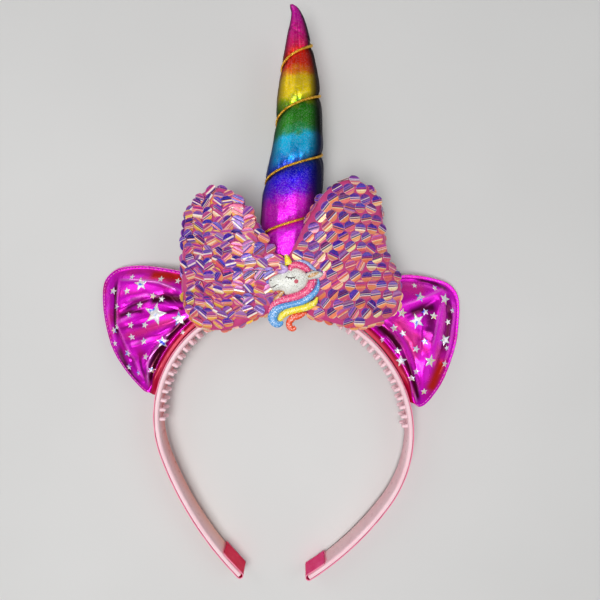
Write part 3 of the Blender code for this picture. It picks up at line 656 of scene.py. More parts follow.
def sequin_finish():
    """Iridescent sequin film, its colours banded across each sequin, partly painted reflections and
    highlight.
    """
    shading = Shading("sequin film", Metallic=0.1, Roughness=0.32, Coat_Weight=0.18, Coat_Roughness=0.15)
    tint = shading.attribute("tint", "Color")
    streak = shading.spread(shading.noise(1900.0, 3.0, (1.0, 0.5, 1.0)), 0.5, 0.72, 0.0, 0.3)
    shading.base(shading.blend(streak, tint, (214, 84, 142)))
    shading.rough(shading.spread(shading.noise(800.0, 2.0), 0.3, 0.7, 0.22, 0.42))
    shading.bump(shading.noise(900.0, 2.0), 0.15, 0.1 * MM)
    return shading.material


def foil_finish(name):
    """Magenta metallic foil with painted shade and reflections, maroon in its folds and crimson beside the
    headband, and painted highlights.
    """
    shading = Shading(name, Coat_Weight=0.06, Coat_Roughness=0.06, Specular_IOR_Level=0.3)
    cloud = shading.noise(70.0, 4.0)
    foil = shading.ramp(cloud, ((0.35, (240, 8, 206)), (0.5, (255, 16, 244)), (0.65, (238, 26, 168))))
    # Painted pink reflection: patches of matt pink
    pinked = shading.blend(shading.attribute("pink"), foil, (216, 40, 128))
    # Painted highlight: bright magenta bands along the lit folds
    pinked = shading.blend(shading.attribute("vivid_highlight"), pinked, (255, 22, 236))
    # Painted warm reflection: orange-red patches
    warmed = shading.blend(shading.attribute("warm"), pinked, (236, 40, 30))
    # Painted shade and dark reflections: maroon in the fold valleys
    shaded = shading.blend(shading.attribute("valley_shade"), warmed, (78, 0, 34))
    # Painted highlight: pale lines along the folds
    highlighted = shading.blend(shading.attribute("pale"), shaded, (255, 140, 240))
    # Painted reflection of the crimson ribbon on the strip beside the headband
    shading.base(shading.blend(shading.attribute("root"), highlighted, (176, 0, 54)))
    # The painted highlights and reflections are made less metallic and rougher
    soft = shading.sum(shading.attribute("vivid_highlight"), shading.attribute("pink"), "MAXIMUM")
    matt = shading.sum(shading.attribute("root"), shading.sum(soft, 0.75, "MULTIPLY"), "MAXIMUM")
    shading.link(shading.spread(matt, 0.0, 1.0, 0.62, 0.2), shading.shader.inputs["Metallic"])
    grain = shading.spread(shading.noise(400.0, 3.0), 0.3, 0.7, 0.14, 0.28)
    shading.rough(shading.sum(grain, shading.sum(matt, 0.14, "MULTIPLY")))
    shading.bump(shading.noise(200.0, 2.0, roughness=0.5), 0.10, 0.5 * MM)
    return shading.material


def seam_finish():
    """Pale pink bound edge and stitches."""
    shading = Shading("ear seam thread", Roughness=0.5, Sheen_Weight=0.3)
    shading.base(shading.ramp(shading.noise(500.0, 3.0), ((0.3, (214, 70, 150)), (0.7, (246, 170, 210)))))
    shading.bump(shading.wave(2200.0, "DIAGONAL"), 0.4, 0.1 * MM)
    return shading.material


def star_finish():
    """Silver holographic foil with patches of blue, yellow and pink."""
    shading = Shading(
        "holographic silver", Metallic=0.35, Roughness=0.22, Coat_Weight=0.6, Coat_Roughness=0.1
    )
    hue = shading.noise(330.0, 2.0)
    stops = (
        (0.30, (60, 60, 240)), (0.37, (160, 180, 244)), (0.43, (240, 238, 244)), (0.60, (246, 242, 238)),
        (0.66, (250, 226, 130)), (0.71, (242, 240, 246)), (0.80, (150, 214, 246)),
    )
    shading.base(shading.ramp(hue, stops))
    shading.bump(shading.noise(1600.0, 2.0), 0.2, 0.1 * MM)
    shading.rough(shading.spread(shading.noise(900.0, 2.0), 0.3, 0.7, 0.16, 0.34))
    return shading.material


def glitter_finish(name):
    """Glitter enamel: bright and dark flakes in one colour."""
    screen = GLITTER[name]
    shading = Shading("glitter " + name, Roughness=0.42, Coat_Weight=0.25, Coat_Roughness=0.2)
    flakes = shading.parts(shading.cells(3000.0, "Color"), "Color")
    dark = tuple(int(value * 0.78) for value in screen)
    light = tuple(int(mix(value, 255, 0.75)) for value in screen)
    tone = shading.ramp(flakes["Red"], ((0.0, dark), (0.25, screen), (0.84, screen), (0.93, light)))
    shading.base(tone)
    shading.rough(shading.spread(flakes["Green"], 0.0, 1.0, 0.25, 0.6))
    shading.bump(flakes["Blue"], 0.5, 0.12 * MM)
    shading.bump(shading.noise(380.0, 3.0), 0.25, 0.25 * MM)
    return shading.material


def paint_finish(name, screen):
    """Thin painted detail."""
    shading = Shading(name, Roughness=0.4)
    dark = tuple(int(value * 0.7) for value in screen)
    shading.base(shading.ramp(shading.noise(2600.0, 3.0), ((0.3, dark), (0.7, screen))))
    shading.bump(shading.noise(3000.0, 2.0), 0.2, 0.05 * MM)
    return shading.material


def floor_finish():
    """Plain pale matt floor."""
    shading = Shading("pale floor", Roughness=0.85)
    shading.base(shading.ramp(shading.noise(6.0, 3.0), ((0.3, (212, 211, 209)), (0.7, (218, 217, 215)))))
    return shading.material


def piece_of(name, points, faces, finish, slot=None, values=None):
    """Object from points and faces; with a slot argument it is listed among the pieces that ride on the
    headband.
    """
    mesh = bpy.data.meshes.new(name)
    mesh.from_pydata([tuple(point) for point in points], [], faces)
    mesh.update()
    mesh.shade_smooth()
    mesh.materials.append(finish)
    for key, row in (values or {}).items():
        kind = "FLOAT" if np.ndim(row) == 1 else "FLOAT_COLOR"
        field = "value" if kind == "FLOAT" else "color"
        attribute = mesh.attributes.new(key, kind, "POINT")
        attribute.data.foreach_set(field, np.asarray(row, np.float32).ravel())
    piece = bpy.data.objects.new(name, mesh)
    bpy.context.scene.collection.objects.link(piece)
    if slot:
        PIECES.append(piece)
    return piece


def skin(rings, caps=True):
    """Points and faces of a skin between rings of equally many points."""
    count = len(rings[0])
    points = [point for ring in rings for point in ring]
    faces = []
    for row in range(len(rings) - 1):
        start = row * count
        for index in range(count):
            after = (index + 1) % count
            faces.append((start + index, start + after, start + count + after, start + count + index))
    if caps:
        faces.append(tuple(reversed(range(count))))
        last = (len(rings) - 1) * count
        faces.append(tuple(range(last, last + count)))
    return points, faces


class Body:
    """Points and faces gathered from many small closed bodies, with values for each point."""

    def __init__(self):
        self.points = []
        self.faces = []
        self.values = {}

    def add(self, points, faces, **values):
        start = len(self.points)
        self.points += points
        self.faces += [tuple(start + index for index in face) for face in faces]
        for key, row in values.items():
            self.values.setdefault(key, []).extend(row)

    def piece(self, name, finish, slot=None):
        made = piece_of(name, self.points, self.faces, finish, slot, self.values)
        face_out(made)
        return made


def face_out(piece):
    """Turn the faces of a piece's closed bodies outward."""
    data = bmesh.new()
    data.from_mesh(piece.data)
    bmesh.ops.recalc_face_normals(data, faces=data.faces)
    data.to_mesh(piece.data)
    data.free()


def tube(path, radius, sides=8, ups=None):
    """Rings of a round tube along points; the radius may change along it."""
    rings = []
    last = len(path) - 1
    up = Vector((0.0, 0.0, 1.0))
    for index, point in enumerate(path):
        along = (path[min(index + 1, last)] - path[max(index - 1, 0)]).normalized()
        if ups is not None:
            up = ups[index]
        beside = along.cross(up).normalized()
        away = beside.cross(along)
        size = radius(index / last) if callable(radius) else radius
        angles = [2 * pi * side / sides for side in range(sides)]
        rings.append([point + (beside * cos(a) + away * sin(a)) * size for a in angles])
    return rings


def set_sharp(piece, angle):
    """Sharp edges where a piece's faces meet at more than an angle in degrees."""
    piece.data.set_sharp_from_angle(angle=radians(angle))


# Comb tooth: share of its length, then its width as a share of the named radius
TOOTH_PROFILE = (
    (-0.12, 1.26), (0.0, 1.20), (0.12, 1.14), (0.55, 1.10), (0.80, 1.04), (0.93, 0.86), (0.99, 0.6),
)


def arm_length(side):
    """Length of one arm along the ribbon's outer face, from the middle to the tip."""
    return sum(share * BAND_SPAN * radians(turn) for share, turn in BAND_ARCS[side])


def band_frame(distance):
    """Point of the ribbon's outer face and the way out, at a distance along it."""
    side = "right" if distance >= 0 else "left"
    sign = 1.0 if distance >= 0 else -1.0
    rest = abs(distance)
    point = Vector((0.0, 0.0))
    angle = pi / 2 + BAND_SKEW
    for share, turn in BAND_ARCS[side]:
        radius = share * BAND_SPAN
        centre = point - radius * unit(angle)
        step = min(rest, radius * radians(turn))
        angle -= sign * step / radius
        point = centre + radius * unit(angle)
        rest -= step
        if rest <= 0:
            break
    return point, unit(angle)


def band_point(distance, depth, height):
    """Point a depth inside the ribbon's outer face and a height above the loop's plane."""
    point, out = band_frame(distance)
    flat = point - depth * out
    return placed((flat.x, flat.y, height))


def make_headband(finish):
    """Moulded band with rounded edges and two rows of round-ended comb teeth."""
    half = BAND_WIDTH / 2
    section = []
    for face, edge, corner, start in (
        (PLASTIC_OUTER, half, OUTER_CORNER, pi / 2),
        (PLASTIC_OUTER, -half, OUTER_CORNER, pi),
        (PLASTIC_INNER, -half, INNER_CORNER, 3 * pi / 2),
        (PLASTIC_INNER, half, INNER_CORNER, 0.0),
    ):
        inward = corner if face == PLASTIC_OUTER else -corner
        toward = -corner if edge > 0 else corner
        for step in range(CORNER_STEPS + 1):
            angle = start + pi / 2 * step / CORNER_STEPS
            section.append((face + inward + corner * cos(angle), edge + toward + corner * sin(angle)))
    body = Body()
    low = -arm_length("left") + TIP_SETBACK
    high = arm_length("right") - TIP_SETBACK
    rings = []
    for number in range(BAND_RINGS + 1):
        distance = mix(low, high, number / BAND_RINGS)
        rings.append([band_point(distance, depth, height) for depth, height in section])
    # Share of painted shade on the inner face, rising from its upper edge
    shade = [smooth_step((half - height) / BAND_WIDTH * 1.8) for _, height in section]
    body.add(*skin(rings), shade=shade * len(rings))
    count = floor(2 * TEETH_REACH / TOOTH_PITCH)
    for number in range(count + 1):
        distance = (number - count / 2) * TOOTH_PITCH
        for row in (-1, 1):
            add_tooth(body, distance, row * TOOTH_ROW_OFFSET)
    band = body.piece("band_shell", finish, "pale_pink_plastic")
    set_sharp(band, 60)
    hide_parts("headband")
    return band


def add_tooth(body, distance, height):
    """Round-ended comb tooth standing on the inner face."""
    rings = []
    for share, width in TOOTH_PROFILE:
        ring = []
        for side in range(TOOTH_SIDES):
            angle = 2 * pi * side / TOOTH_SIDES
            along = distance + TOOTH_RADIUS * width * cos(angle)
            up = height + TOOTH_RADIUS * width * 1.05 * sin(angle)
            ring.append(band_point(along, PLASTIC_INNER + share * TOOTH_LENGTH, up))
        rings.append(ring)
    body.add(*skin(rings), shade=[0.0] * (TOOTH_SIDES * len(rings)))


def ribbon_line(side):
    """Middle line of one half of the ribbon, out over the tip and back, with the way it looks."""
    sign = SIDE_SIGN[side]
    turn_at = arm_length(side) - TIP_SETBACK
    steps = ceil(turn_at / MM)
    path = []
    for number in range(steps):
        point, out = band_frame(sign * turn_at * number / steps)
        path.append((point - out * RIBBON_THICKNESS / 2, out))
    point, out = band_frame(sign * turn_at)
    centre = point - out * (RIBBON_THICKNESS / 2 + FOLD_RADIUS)
    onward = Vector((out.y, -out.x)) * sign
    turn_steps = 14
    for number in range(turn_steps + 1):
        angle = pi * number / turn_steps
        way = out * cos(angle) + onward * sin(angle)
        path.append((centre + way * FOLD_RADIUS, way))
    fold = RIBBON_FOLD[side]
    fold_steps = ceil(fold / MM)
    for number in range(1, fold_steps + 1):
        point, out = band_frame(sign * (turn_at - fold * number / fold_steps))
        path.append((point - out * (RIBBON_THICKNESS / 2 + 2 * FOLD_RADIUS), -out))
    return path


def make_ribbon(finish):
    """Satin ribbon on the outer face, folded over both tips, its cut ends a little frayed."""
    path = ribbon_line("left")[:0:-1] + ribbon_line("right")
    across = 16
    half_width, half_wall = RIBBON_WIDTH / 2, RIBBON_THICKNESS / 2 * 0.66
    rings, selvage = [], []
    last = len(path) - 1
    for index, (point, way) in enumerate(path):
        to_end = min(index, last - index)
        lift = 0.12 * MM * noise.noise(Vector((index / 5.0, 1.0, 7.0)))
        ring = []
        for face, order in ((1, range(across + 1)), (-1, range(across, -1, -1))):
            for step in order:
                height = mix(-half_width, half_width, step / across)
                ragged = 0.0
                if to_end == 0:
                    ragged = 0.7 * MM * noise.noise(Vector((height / (1.1 * MM), index * 1.0, 2.0)))
                flat = point + way * (face * half_wall + lift)
                along = Vector((way.y, -way.x)) * ragged
                ring.append(placed((flat.x + along.x, flat.y + along.y, height)))
                # Painted highlight along both edges of the ribbon
                selvage.append(1.0 if step in (0, across) else 0.0)
        rings.append(ring)
    body = Body()
    body.add(*skin(rings), selvage=selvage)
    chance = random.Random(11)
    for index in (0, last):
        point, way = path[index]
        inward = path[1][0] - point if index == 0 else path[last - 1][0] - point
        for number in range(22):
            height = mix(-half_width, half_width, (number + chance.random()) / 22)
            start = point - way * half_wall * 0.3
            end = start - inward.normalized() * chance.uniform(0.4, 1.3) * MM
            lean = chance.uniform(-0.3, 0.3) * MM
            line = [placed((start.x, start.y, height)), placed((end.x, end.y, height + lean))]
            fibre = skin(tube(line, 0.07 * MM, 5, [Vector((0.1, 0.2, 1.0))] * 2))
            # The cut fibres carry part of the painted edge highlight
            body.add(*fibre, selvage=[0.6] * len(fibre[0]))
    ribbon = body.piece("ribbon", finish, "hot_pink_satin")
    set_sharp(ribbon, 50)
    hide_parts("ribbon_cover")
    return ribbon


def cord_turn(share):
    """Turns of the cord up to a share of the horn's length."""
    rows = [(place, float(number)) for number, place in enumerate(CORD_TURNS)]
    return table_at(rows, share)[0] - 1.0


def cord_share(turn):
    """Share of the horn's length at a number of turns."""
    return run_at([(place,) for place in CORD_TURNS], (turn + 1.0) / (len(CORD_TURNS) - 1))[0]


def groove_depth(share):
    """Depth of the cord's groove in the CAD solid."""
    return GROOVE_DEPTH * mix(0.62, 1.0, smooth_step((0.95 - share) / 0.5))


def horn_point(share, angle, radius):
    """Point at a radius and an angle round the horn's bent axis."""
    bend = table_at(HORN_STATIONS, share)[1] * HORN_DIAMETER
    return placed((bend + radius * cos(angle), GAP + share * HORN_LENGTH, radius * sin(angle)))


def make_horn(finish):
    """Stuffed horn: the cloth swells between the turns of the cord and puckers beside it."""
    hug = CORD_CLEARANCE - CORD_GAP
    rings, flank_shade = [], []
    for number in range(HORN_RINGS + 1):
        share = number / HORN_RINGS
        wide, bend = table_at(HORN_STATIONS, share)
        radius = wide * HORN_DIAMETER / 2
        turn = cord_turn(share)
        pitch = (cord_share(turn + 0.5) - cord_share(turn - 0.5)) * HORN_LENGTH
        depth = groove_depth(share) - hug
        thin = smooth_step(radius / (7 * MM))
        ring = []
        for side in range(HORN_SIDES):
            angle = 2 * pi * side / HORN_SIDES
            part = (angle - pi / 2) / (2 * pi)
            nearest = floor(turn + part + 0.5) - part
            across = (turn - nearest) * pitch
            wound = smooth_step((CORD_END + 0.1 - nearest) / 0.1)
            wound *= smooth_step((nearest - CORD_START + 0.1) / 0.1)
            swell = 0.05 * MM * wound * (1 - exp(-((across / (5.0 * MM)) ** 2)))
            groove = depth * wound * exp(-abs(across / GROOVE_WIDTH) ** 1.5)
            place = Vector((cos(angle) * 2.2, share * 14.0, sin(angle) * 2.2))
            fine = noise.noise(Vector((cos(angle) * 7.0, share * 9.0, sin(angle) * 7.0)))
            pucker = sin(angle * 19 + 5 * noise.noise(place) + 3 * fine)
            beside = exp(-((abs(across) - 2.0 * MM) / (2.4 * MM)) ** 2) * wound
            low = noise.noise(place * 1.3)
            crease = ridge(noise.noise(Vector((cos(angle) * 1.6, share * 20.0 + 2 * sin(angle), 4.0))))
            out = radius + swell * thin - groove
            lengthwise = noise.noise(Vector((cos(angle) * 4.5, share * 5.0, sin(angle) * 4.5)))
            relief = 0.10 * beside * pucker + 0.16 * low + 0.05 * fine - 0.05 * crease
            out += thin * relief * MM
            out += thin * (0.20 * MM * lengthwise + lengthwise_crease(share, angle))
            if wide < 0.55:
                out -= 0.25 * MM * tip_crease(share, angle)
            flat_x = bend * HORN_DIAMETER + out * cos(angle)
            ring.append(placed((flat_x, GAP + share * HORN_LENGTH, out * sin(angle))))
            # Share of painted shade on each flank, the left one lighter
            across_share = cos(angle)
            left_flank = smooth_step((-across_share - 0.6) / 0.4) * 0.8
            flank_shade.append(max(smooth_step((across_share - 0.25) / 0.6), left_flank))
        rings.append(ring)
    points, faces = skin(rings)
    horn = piece_of("horn_cloth", points, faces, finish, "rainbow_lame", {"flank_shade": flank_shade})
    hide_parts("horn")
    return horn


def lengthwise_crease(share, angle):
    """Sharp lengthwise creases of the cloth on the front: height at a place on the horn."""
    total = 0.0
    for start, end, at, width, height in HORN_CREASES:
        run = smooth_step((share - start) / 0.05) * smooth_step((end - share) / 0.05)
        apart = (angle - at - 0.25 * (share - start)) / width
        total += height * MM * run * exp(-apart * apart)
    return total


def ridge(value):
    """Narrow crease where a noise value passes zero."""
    return exp(-((value / 0.09) ** 2))


def tip_crease(share, angle):
    """Two short creases across the front of the tip."""
    total = 0.0
    for middle, slope in ((0.895, 0.02), (0.935, -0.025)):
        apart = (share - middle - slope * (angle - pi / 2)) / 0.006
        total += exp(-apart * apart)
    return total * smooth_step(sin(angle) * 2)


def make_horn_cord(finish):
    """Gold cord of three twisted strands, wound up the horn in its groove."""
    strands, strand_radius, twist_pitch = 3, 0.37 * MM, 2.1 * MM
    offset = CORD_DIAMETER / 2 - strand_radius
    steps = 1000
    points, ups = [], []
    for number in range(steps + 1):
        turn = mix(CORD_START, CORD_END, number / steps)
        share = cord_share(turn)
        angle = pi / 2 - 2 * pi * turn
        seat = table_at(HORN_STATIONS, share)[0] * HORN_DIAMETER / 2 - groove_depth(share)
        point = horn_point(share, angle, seat + CORD_DIAMETER / 2 + CORD_CLEARANCE)
        points.append(point)
        ups.append((point - horn_point(share, 0.0, 0.0)).normalized())
    body = Body()
    for strand in range(strands):
        line = []
        travelled = 0.0
        for index, point in enumerate(points):
            if index:
                travelled += (point - points[index - 1]).length
            along = (points[min(index + 1, steps)] - points[max(index - 1, 0)]).normalized()
            beside = along.cross(ups[index]).normalized()
            away = beside.cross(along)
            angle = 2 * pi * (travelled / twist_pitch + strand / strands)
            line.append(point + (beside * cos(angle) + away * sin(angle)) * offset)
        body.add(*skin(tube(line, strand_radius, 7, ups)))
    cord = body.piece("gold_twist", finish, "gold_cord")
    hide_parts("horn_cord")
    return cord


def bow_back(reach_share):
    """Height of the bow's back: over the horn in the middle, down over the ears at the ends."""
    over_horn = HORN_DIAMETER / 2 + GAP
    over_ears = EAR_THICKNESS * WING_END_LEVEL
    return mix(over_horn, over_ears, smooth_step((reach_share - 0.28) / 0.85))


def bow_level(side, share, up_share, front):
    """Height of the bow's front or back at a place on a wing: padding, gathers and soft waves."""
    rows = WINGS[side]
    top, bottom, thickness = table_at(rows, max(share, rows[0][0]))
    up = BOW_HEIGHT * mix(bottom, top, up_share)
    across = share * BOW_REACH[side]
    round_share = sqrt(max(0.0, 1 - (2 * up_share - 1) ** 2))
    dome = mix(BOW_EDGE, 1.0, round_share**BOW_FULLNESS)
    angle = atan2(up, max(across, 1 * MM))
    gather = noise.noise(Vector((angle * 4.5, 0.4 * across / (20 * MM), 5.0 * SIDE_SIGN[side])))
    fade = smooth_step(across / (9 * MM)) * smooth_step((46 * MM - across) / (22 * MM))
    wave = noise.noise(Vector((across / (17 * MM), up / (15 * MM), 9.0)))
    level = BOW_THICKNESS * thickness * dome
    level += (0.75 * MM * gather * fade + 0.5 * MM * wave) * min(1.0, round_share * 1.4)
    back = bow_back(share)
    if front:
        return up, back + level
    return up, back + 0.25 * MM * (1 + wave) * round_share


def make_bow_cloth(finish):
    """Pink backing of the bow: two padded wings in one closed body, gathered in the middle."""
    rings = []
    columns = []
    for side, rows in WINGS.items():
        first = rows[0][0]
        shares = [mix(first, 1.0, number / BOW_COLUMNS) for number in range(BOW_COLUMNS + 1)]
        columns.append([(side, share) for share in shares])
    order = columns[0][::-1] + columns[1]
    for side, share in order:
        x = BOW_OFFSET[0] + SIDE_SIGN[side] * share * BOW_REACH[side]
        ring = []
        for number in range(BOW_FRONT_STEPS + 1):
            up_share = 0.5 + cos(pi * number / BOW_FRONT_STEPS) / 2
            up, level = bow_level(side, share, up_share, True)
            ring.append(placed((x, BOW_OFFSET[1] + up, level)))
        for number in range(1, BOW_BACK_STEPS):
            up_share = 0.5 - cos(pi * number / BOW_BACK_STEPS) / 2
            up, level = bow_level(side, share, up_share, False)
            ring.append(placed((x, BOW_OFFSET[1] + up, level)))
        rings.append(ring)
    points, faces = skin(rings)
    bow = piece_of("bow_cloth", points, faces, finish, "pink_sequin_cloth")
    face_out(bow)
    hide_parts("bow")
    return bow


def surface_of(piece):
    """Tree for finding places on a piece's surface."""
    mesh = piece.data
    points = [vert.co.copy() for vert in mesh.vertices]
    return BVHTree.FromPolygons(points, [tuple(face.vertices) for face in mesh.polygons])


def dropped(tree, x, y, from_front=True):
    """Point and normal of a surface straight below or above a place, or None."""
    start = Vector((x, y, 0.1 if from_front else -0.1))
    point, normal, _, _ = tree.ray_cast(start, Vector((0, 0, -1 if from_front else 1)))
    if point is None:
        return None
    if (normal.z < 0) == from_front:
        normal = -normal
    return point, normal


# Rows across a sequin: place as a share of its half width, then lift as a share of its size
SEQUIN_ROWS = (
    (-1.0, 0.0), (-0.94, 0.03), (-0.78, 0.08), (-0.70, 0.10), (-0.56, 0.13), (-0.48, 0.14), (-0.32, 0.16),
    (-0.20, 0.16), (-0.10, 0.10), (0.02, 0.02), (0.12, 0.14), (0.22, 0.22), (0.38, 0.20), (0.46, 0.18),
    (0.66, 0.13), (0.94, 0.04), (1.0, 0.0),
)
SEQUIN_COLUMNS = (-1.0, -0.90, -0.35, 0.35, 0.90, 1.0)
SEQUIN_WALL = 0.09 * MM


def add_sequin(body, centre, normal, crease, size, bands):
    """Round sequin film with a pressed crease across its middle, closed and thin, its rim paler."""
    crease = (crease - normal * crease.dot(normal)).normalized()
    across = normal.cross(crease)
    if across.y < 0:
        across = -across
    top, bottom, tints = [], [], []
    rows, wide = len(SEQUIN_ROWS), len(SEQUIN_COLUMNS)
    for row, (v, lift) in enumerate(SEQUIN_ROWS):
        half = max(0.22, sqrt(max(0.0, 1 - v * v * 0.97)))
        for column, u in enumerate(SEQUIN_COLUMNS):
            flat = centre + crease * (u * half * size[0]) + across * (v * size[1])
            raised = flat + normal * ((lift * size[2] + 0.05 * (u * half) ** 2) * MM + SEQUIN_WALL)
            top.append(raised)
            bottom.append(raised - normal * SEQUIN_WALL)
            rim = row in (0, rows - 1) or column in (0, wide - 1)
            tint = bands[row]
            if rim:
                tint = tuple(mix(value, pale, 0.75) for value, pale in zip(tint, RIM))
            tints.append((*colour(tint), 1.0))
    body.add(top + bottom, closed_grid(rows, wide), tint=tints + tints)


def closed_grid(rows, wide):
    """Faces of a grid of points, of its twin behind it and of the wall between their edges."""
    count = rows * wide
    faces = []
    for row in range(rows - 1):
        for column in range(wide - 1):
            a = row * wide + column
            quad = (a, a + 1, a + wide + 1, a + wide)
            faces.append(quad)
            faces.append(tuple(count + index for index in reversed(quad)))
    edge = list(range(wide))
    edge += [row * wide + wide - 1 for row in range(1, rows)]
    edge += [(rows - 1) * wide + column for column in range(wide - 2, -1, -1)]
    edge += [row * wide for row in range(rows - 2, 0, -1)]
    for vert, after in zip(edge, edge[1:] + edge[:1]):
        faces.append((vert, count + vert, count + after, after))
    return faces


def sequin_bands(chance, style):
    """Colours from the lower to the upper edge of a sequin, for each of its rows: partly the film's own,
    partly painted reflections, warm below and blue above, with a painted highlight above the crease.
    """
    def near(screen, spread=16):
        return tuple(max(0, min(255, value + chance.randint(-spread, spread))) for value in screen)

    kind = chance.random()
    low, low_edge = near(chance.choice(style["low"])), near(chance.choice(style["low"]))
    upper, top = near(chance.choice(style["upper"])), near(chance.choice(style["upper"]))
    cream = near(chance.choice(style["cream"]), 8)
    dark = near(chance.choice(style["line"]), 10)
    # Painted highlight: the pale line just above the crease
    white = near(WHITE, 8)
    if kind < style["plain_low"]:
        upper, top, dark = near(ROSE), near(chance.choice(style["low"])), near(CORAL)
    elif kind < style["plain_low"] + style["plain_upper"]:
        low, low_edge, cream = near(chance.choice(style["upper"])), near(ROSE), near(LILAC)
    if chance.random() > style["white"]:
        white = near(chance.choice((PEACH, ROSE, LILAC)))
    low_line, upper_line = near(chance.choice(style["low"])), near(chance.choice(style["upper"]))
    lows = [low_edge, low_edge, low_line, low, low_line, low, near(low), cream]
    uppers = [white, upper, near(upper), upper_line, upper, top, top]
    return lows + [dark, dark] + uppers


LEFT_STYLE = {
    "low": (PEACH, YELLOW, CREAM, PEACH, ROSE, CORAL, YELLOW),
    "cream": (WHITE, CREAM, ROSE),
    "line": (WHITE, PURPLE, VIOLET, CORAL, WHITE),
    "upper": (BLUE, NAVY, VIOLET, BLUE, LILAC, ROSE, LILAC),
    "white": 0.7,
    "plain_low": 0.26,
    "plain_upper": 0.22,
}
RIGHT_STYLE = {
    "low": (PEACH, PEACH, CREAM, CORAL, ROSE),
    "cream": (CREAM, WHITE, PEACH),
    "line": (NAVY, NAVY, PURPLE, PURPLE, VIOLET),
    "upper": (VIOLET, VIOLET, LILAC, PURPLE, BLUE),
    "white": 0.55,
    "plain_low": 0.2,
    "plain_upper": 0.14,
}


def inside_wing(side, x, y, inset):
    """Whether a place of the flat frame is on a wing, at least an inset from its edge."""
    share = (x - BOW_OFFSET[0]) * SIDE_SIGN[side] / BOW_REACH[side]
    if share < 0.0 or share > 1.0 - inset / BOW_REACH[side]:
        return False
    rows = WINGS[side]
    top, bottom, _ = table_at(rows, max(share, rows[0][0]))
    up = y - BOW_OFFSET[1]
    return BOW_HEIGHT * bottom + inset <= up <= BOW_HEIGHT * top - inset


def wing_outline(side):
    """Outline of a wing in the flat frame, from the middle over the top to the middle below."""
    rows = WINGS[side]
    points = []
    for column, order in ((0, range(81)), (1, range(80, -1, -1))):
        for number in order:
            share = mix(max(rows[0][0], 0.16), 1.0, 1 - (1 - number / 80) ** 1.6)
            up = BOW_HEIGHT * table_at(rows, share)[column]
            across = SIDE_SIGN[side] * share * BOW_REACH[side]
            points.append((Vector((BOW_OFFSET[0] + across, BOW_OFFSET[1] + up)), share))
    return points


def add_edge_sequins(body, tree, side, front, chance):
    """Sequins that wrap over the edge of a wing, seen nearly edge on."""
    points = wing_outline(side)
    travelled, spacing = 0.0, 3.4 * MM
    turn = Vector((0.0, 0.0, 1.0)) * SIDE_SIGN[side]
    for index in range(1, len(points) - 1):
        travelled += (points[index][0] - points[index - 1][0]).length
        if travelled < spacing:
            continue
        travelled = 0.0
        spacing = chance.uniform(3.1, 4.4) * MM
        spot, share = points[index]
        along = (points[index + 1][0] - points[index - 1][0]).to_3d().normalized()
        out = along.cross(turn)
        level = bow_back(share) + (1.5 if front else 0.2) * MM
        start = placed((spot.x, spot.y, level)) + out * 1.0 * MM
        near, normal, _, _ = tree.find_nearest(start)
        if normal.dot(out) < 0:
            normal = -normal
        outward = (side == "left" and share > 0.9) or spot.y < BOW_OFFSET[1]
        if chance.random() < (0.25 if outward else 0.6):
            continue
        facing = 1.3 if outward else 0.8 if share < 0.72 else 0.4
        normal = (normal + Vector((0, 0, facing if front else -facing))).normalized()
        size = (chance.uniform(2.2, 2.6) * MM, chance.uniform(1.7, 2.2) * MM, chance.uniform(0.7, 1.3))
        bands = sequin_bands(chance, SEQUIN_LAY[side]["style"])
        lean = along * chance.uniform(-0.3, 0.3) + Vector((0, 0, chance.uniform(-0.2, 0.2)))
        add_sequin(body, near + normal * 0.2 * MM, (normal + lean).normalized(), along, size, bands)


def left_place(row, column, chance):
    """Place and slant in degrees of a sequin of the left wing, in zigzag rows."""
    x = BOW_OFFSET[0] - (column + 0.5) * 4.5 * MM + chance.uniform(-0.3, 0.3) * MM
    y = BOW_OFFSET[1] + row * 2.75 * MM + 0.8 * MM * (row % 2) + chance.uniform(-0.35, 0.35) * MM
    x += (2.4 * noise.noise(Vector((0.0, row * 0.9, 1.0))) + chance.uniform(-0.5, 0.5)) * MM
    y += 2.0 * MM * noise.noise(Vector((x / (9 * MM), 0.0, 2.0)))
    return x, y, 24 if column % 2 else -24


def right_place(row, column, chance):
    """Place and slant in degrees of a sequin of the right wing, tilted towards the bow's middle."""
    x = BOW_OFFSET[0] + 2.4 * MM + (column + 0.5 * (row % 2)) * 5.0 * MM + chance.uniform(-0.5, 0.5) * MM
    y = BOW_OFFSET[1] + row * 4.15 * MM + chance.uniform(-0.5, 0.5) * MM
    reach = (x - BOW_OFFSET[0]) / BOW_REACH["right"]
    slant = mix(42, 4, smooth_step((reach - 0.25) / 0.55))
    return x, y, slant * (1 if y > BOW_OFFSET[1] - 9 * MM else 0.6)


# How the sequins of each wing lie: lengths in mm, angles in degrees
SEQUIN_LAY = {
    "left": {
        "place": left_place, "rows": (-9, 18), "columns": (-2, 12), "inset": 1.0, "seeds": (5, 6),
        "wander": 20, "odd": 0.16, "odd_span": (-60, 60), "lean": (0.16, 0.2), "droop": -0.34, "tip": 0.8,
        "long": (2.5, 2.95), "wide": (1.95, 2.35), "relief": (0.8, 1.9), "lift": 0.42, "style": LEFT_STYLE,
    },
    "right": {
        "place": right_place, "rows": (-5, 13), "columns": (-1, 12), "inset": 0.9, "seeds": (7, 8),
        "wander": 16, "odd": 0.25, "odd_span": (-35, 60), "lean": (0.12, 0.14), "droop": 0.0, "tip": 1.0,
        "long": (2.45, 2.8), "wide": (2.2, 2.5), "relief": (0.8, 1.6), "lift": 0.22, "style": RIGHT_STYLE,
    },
}


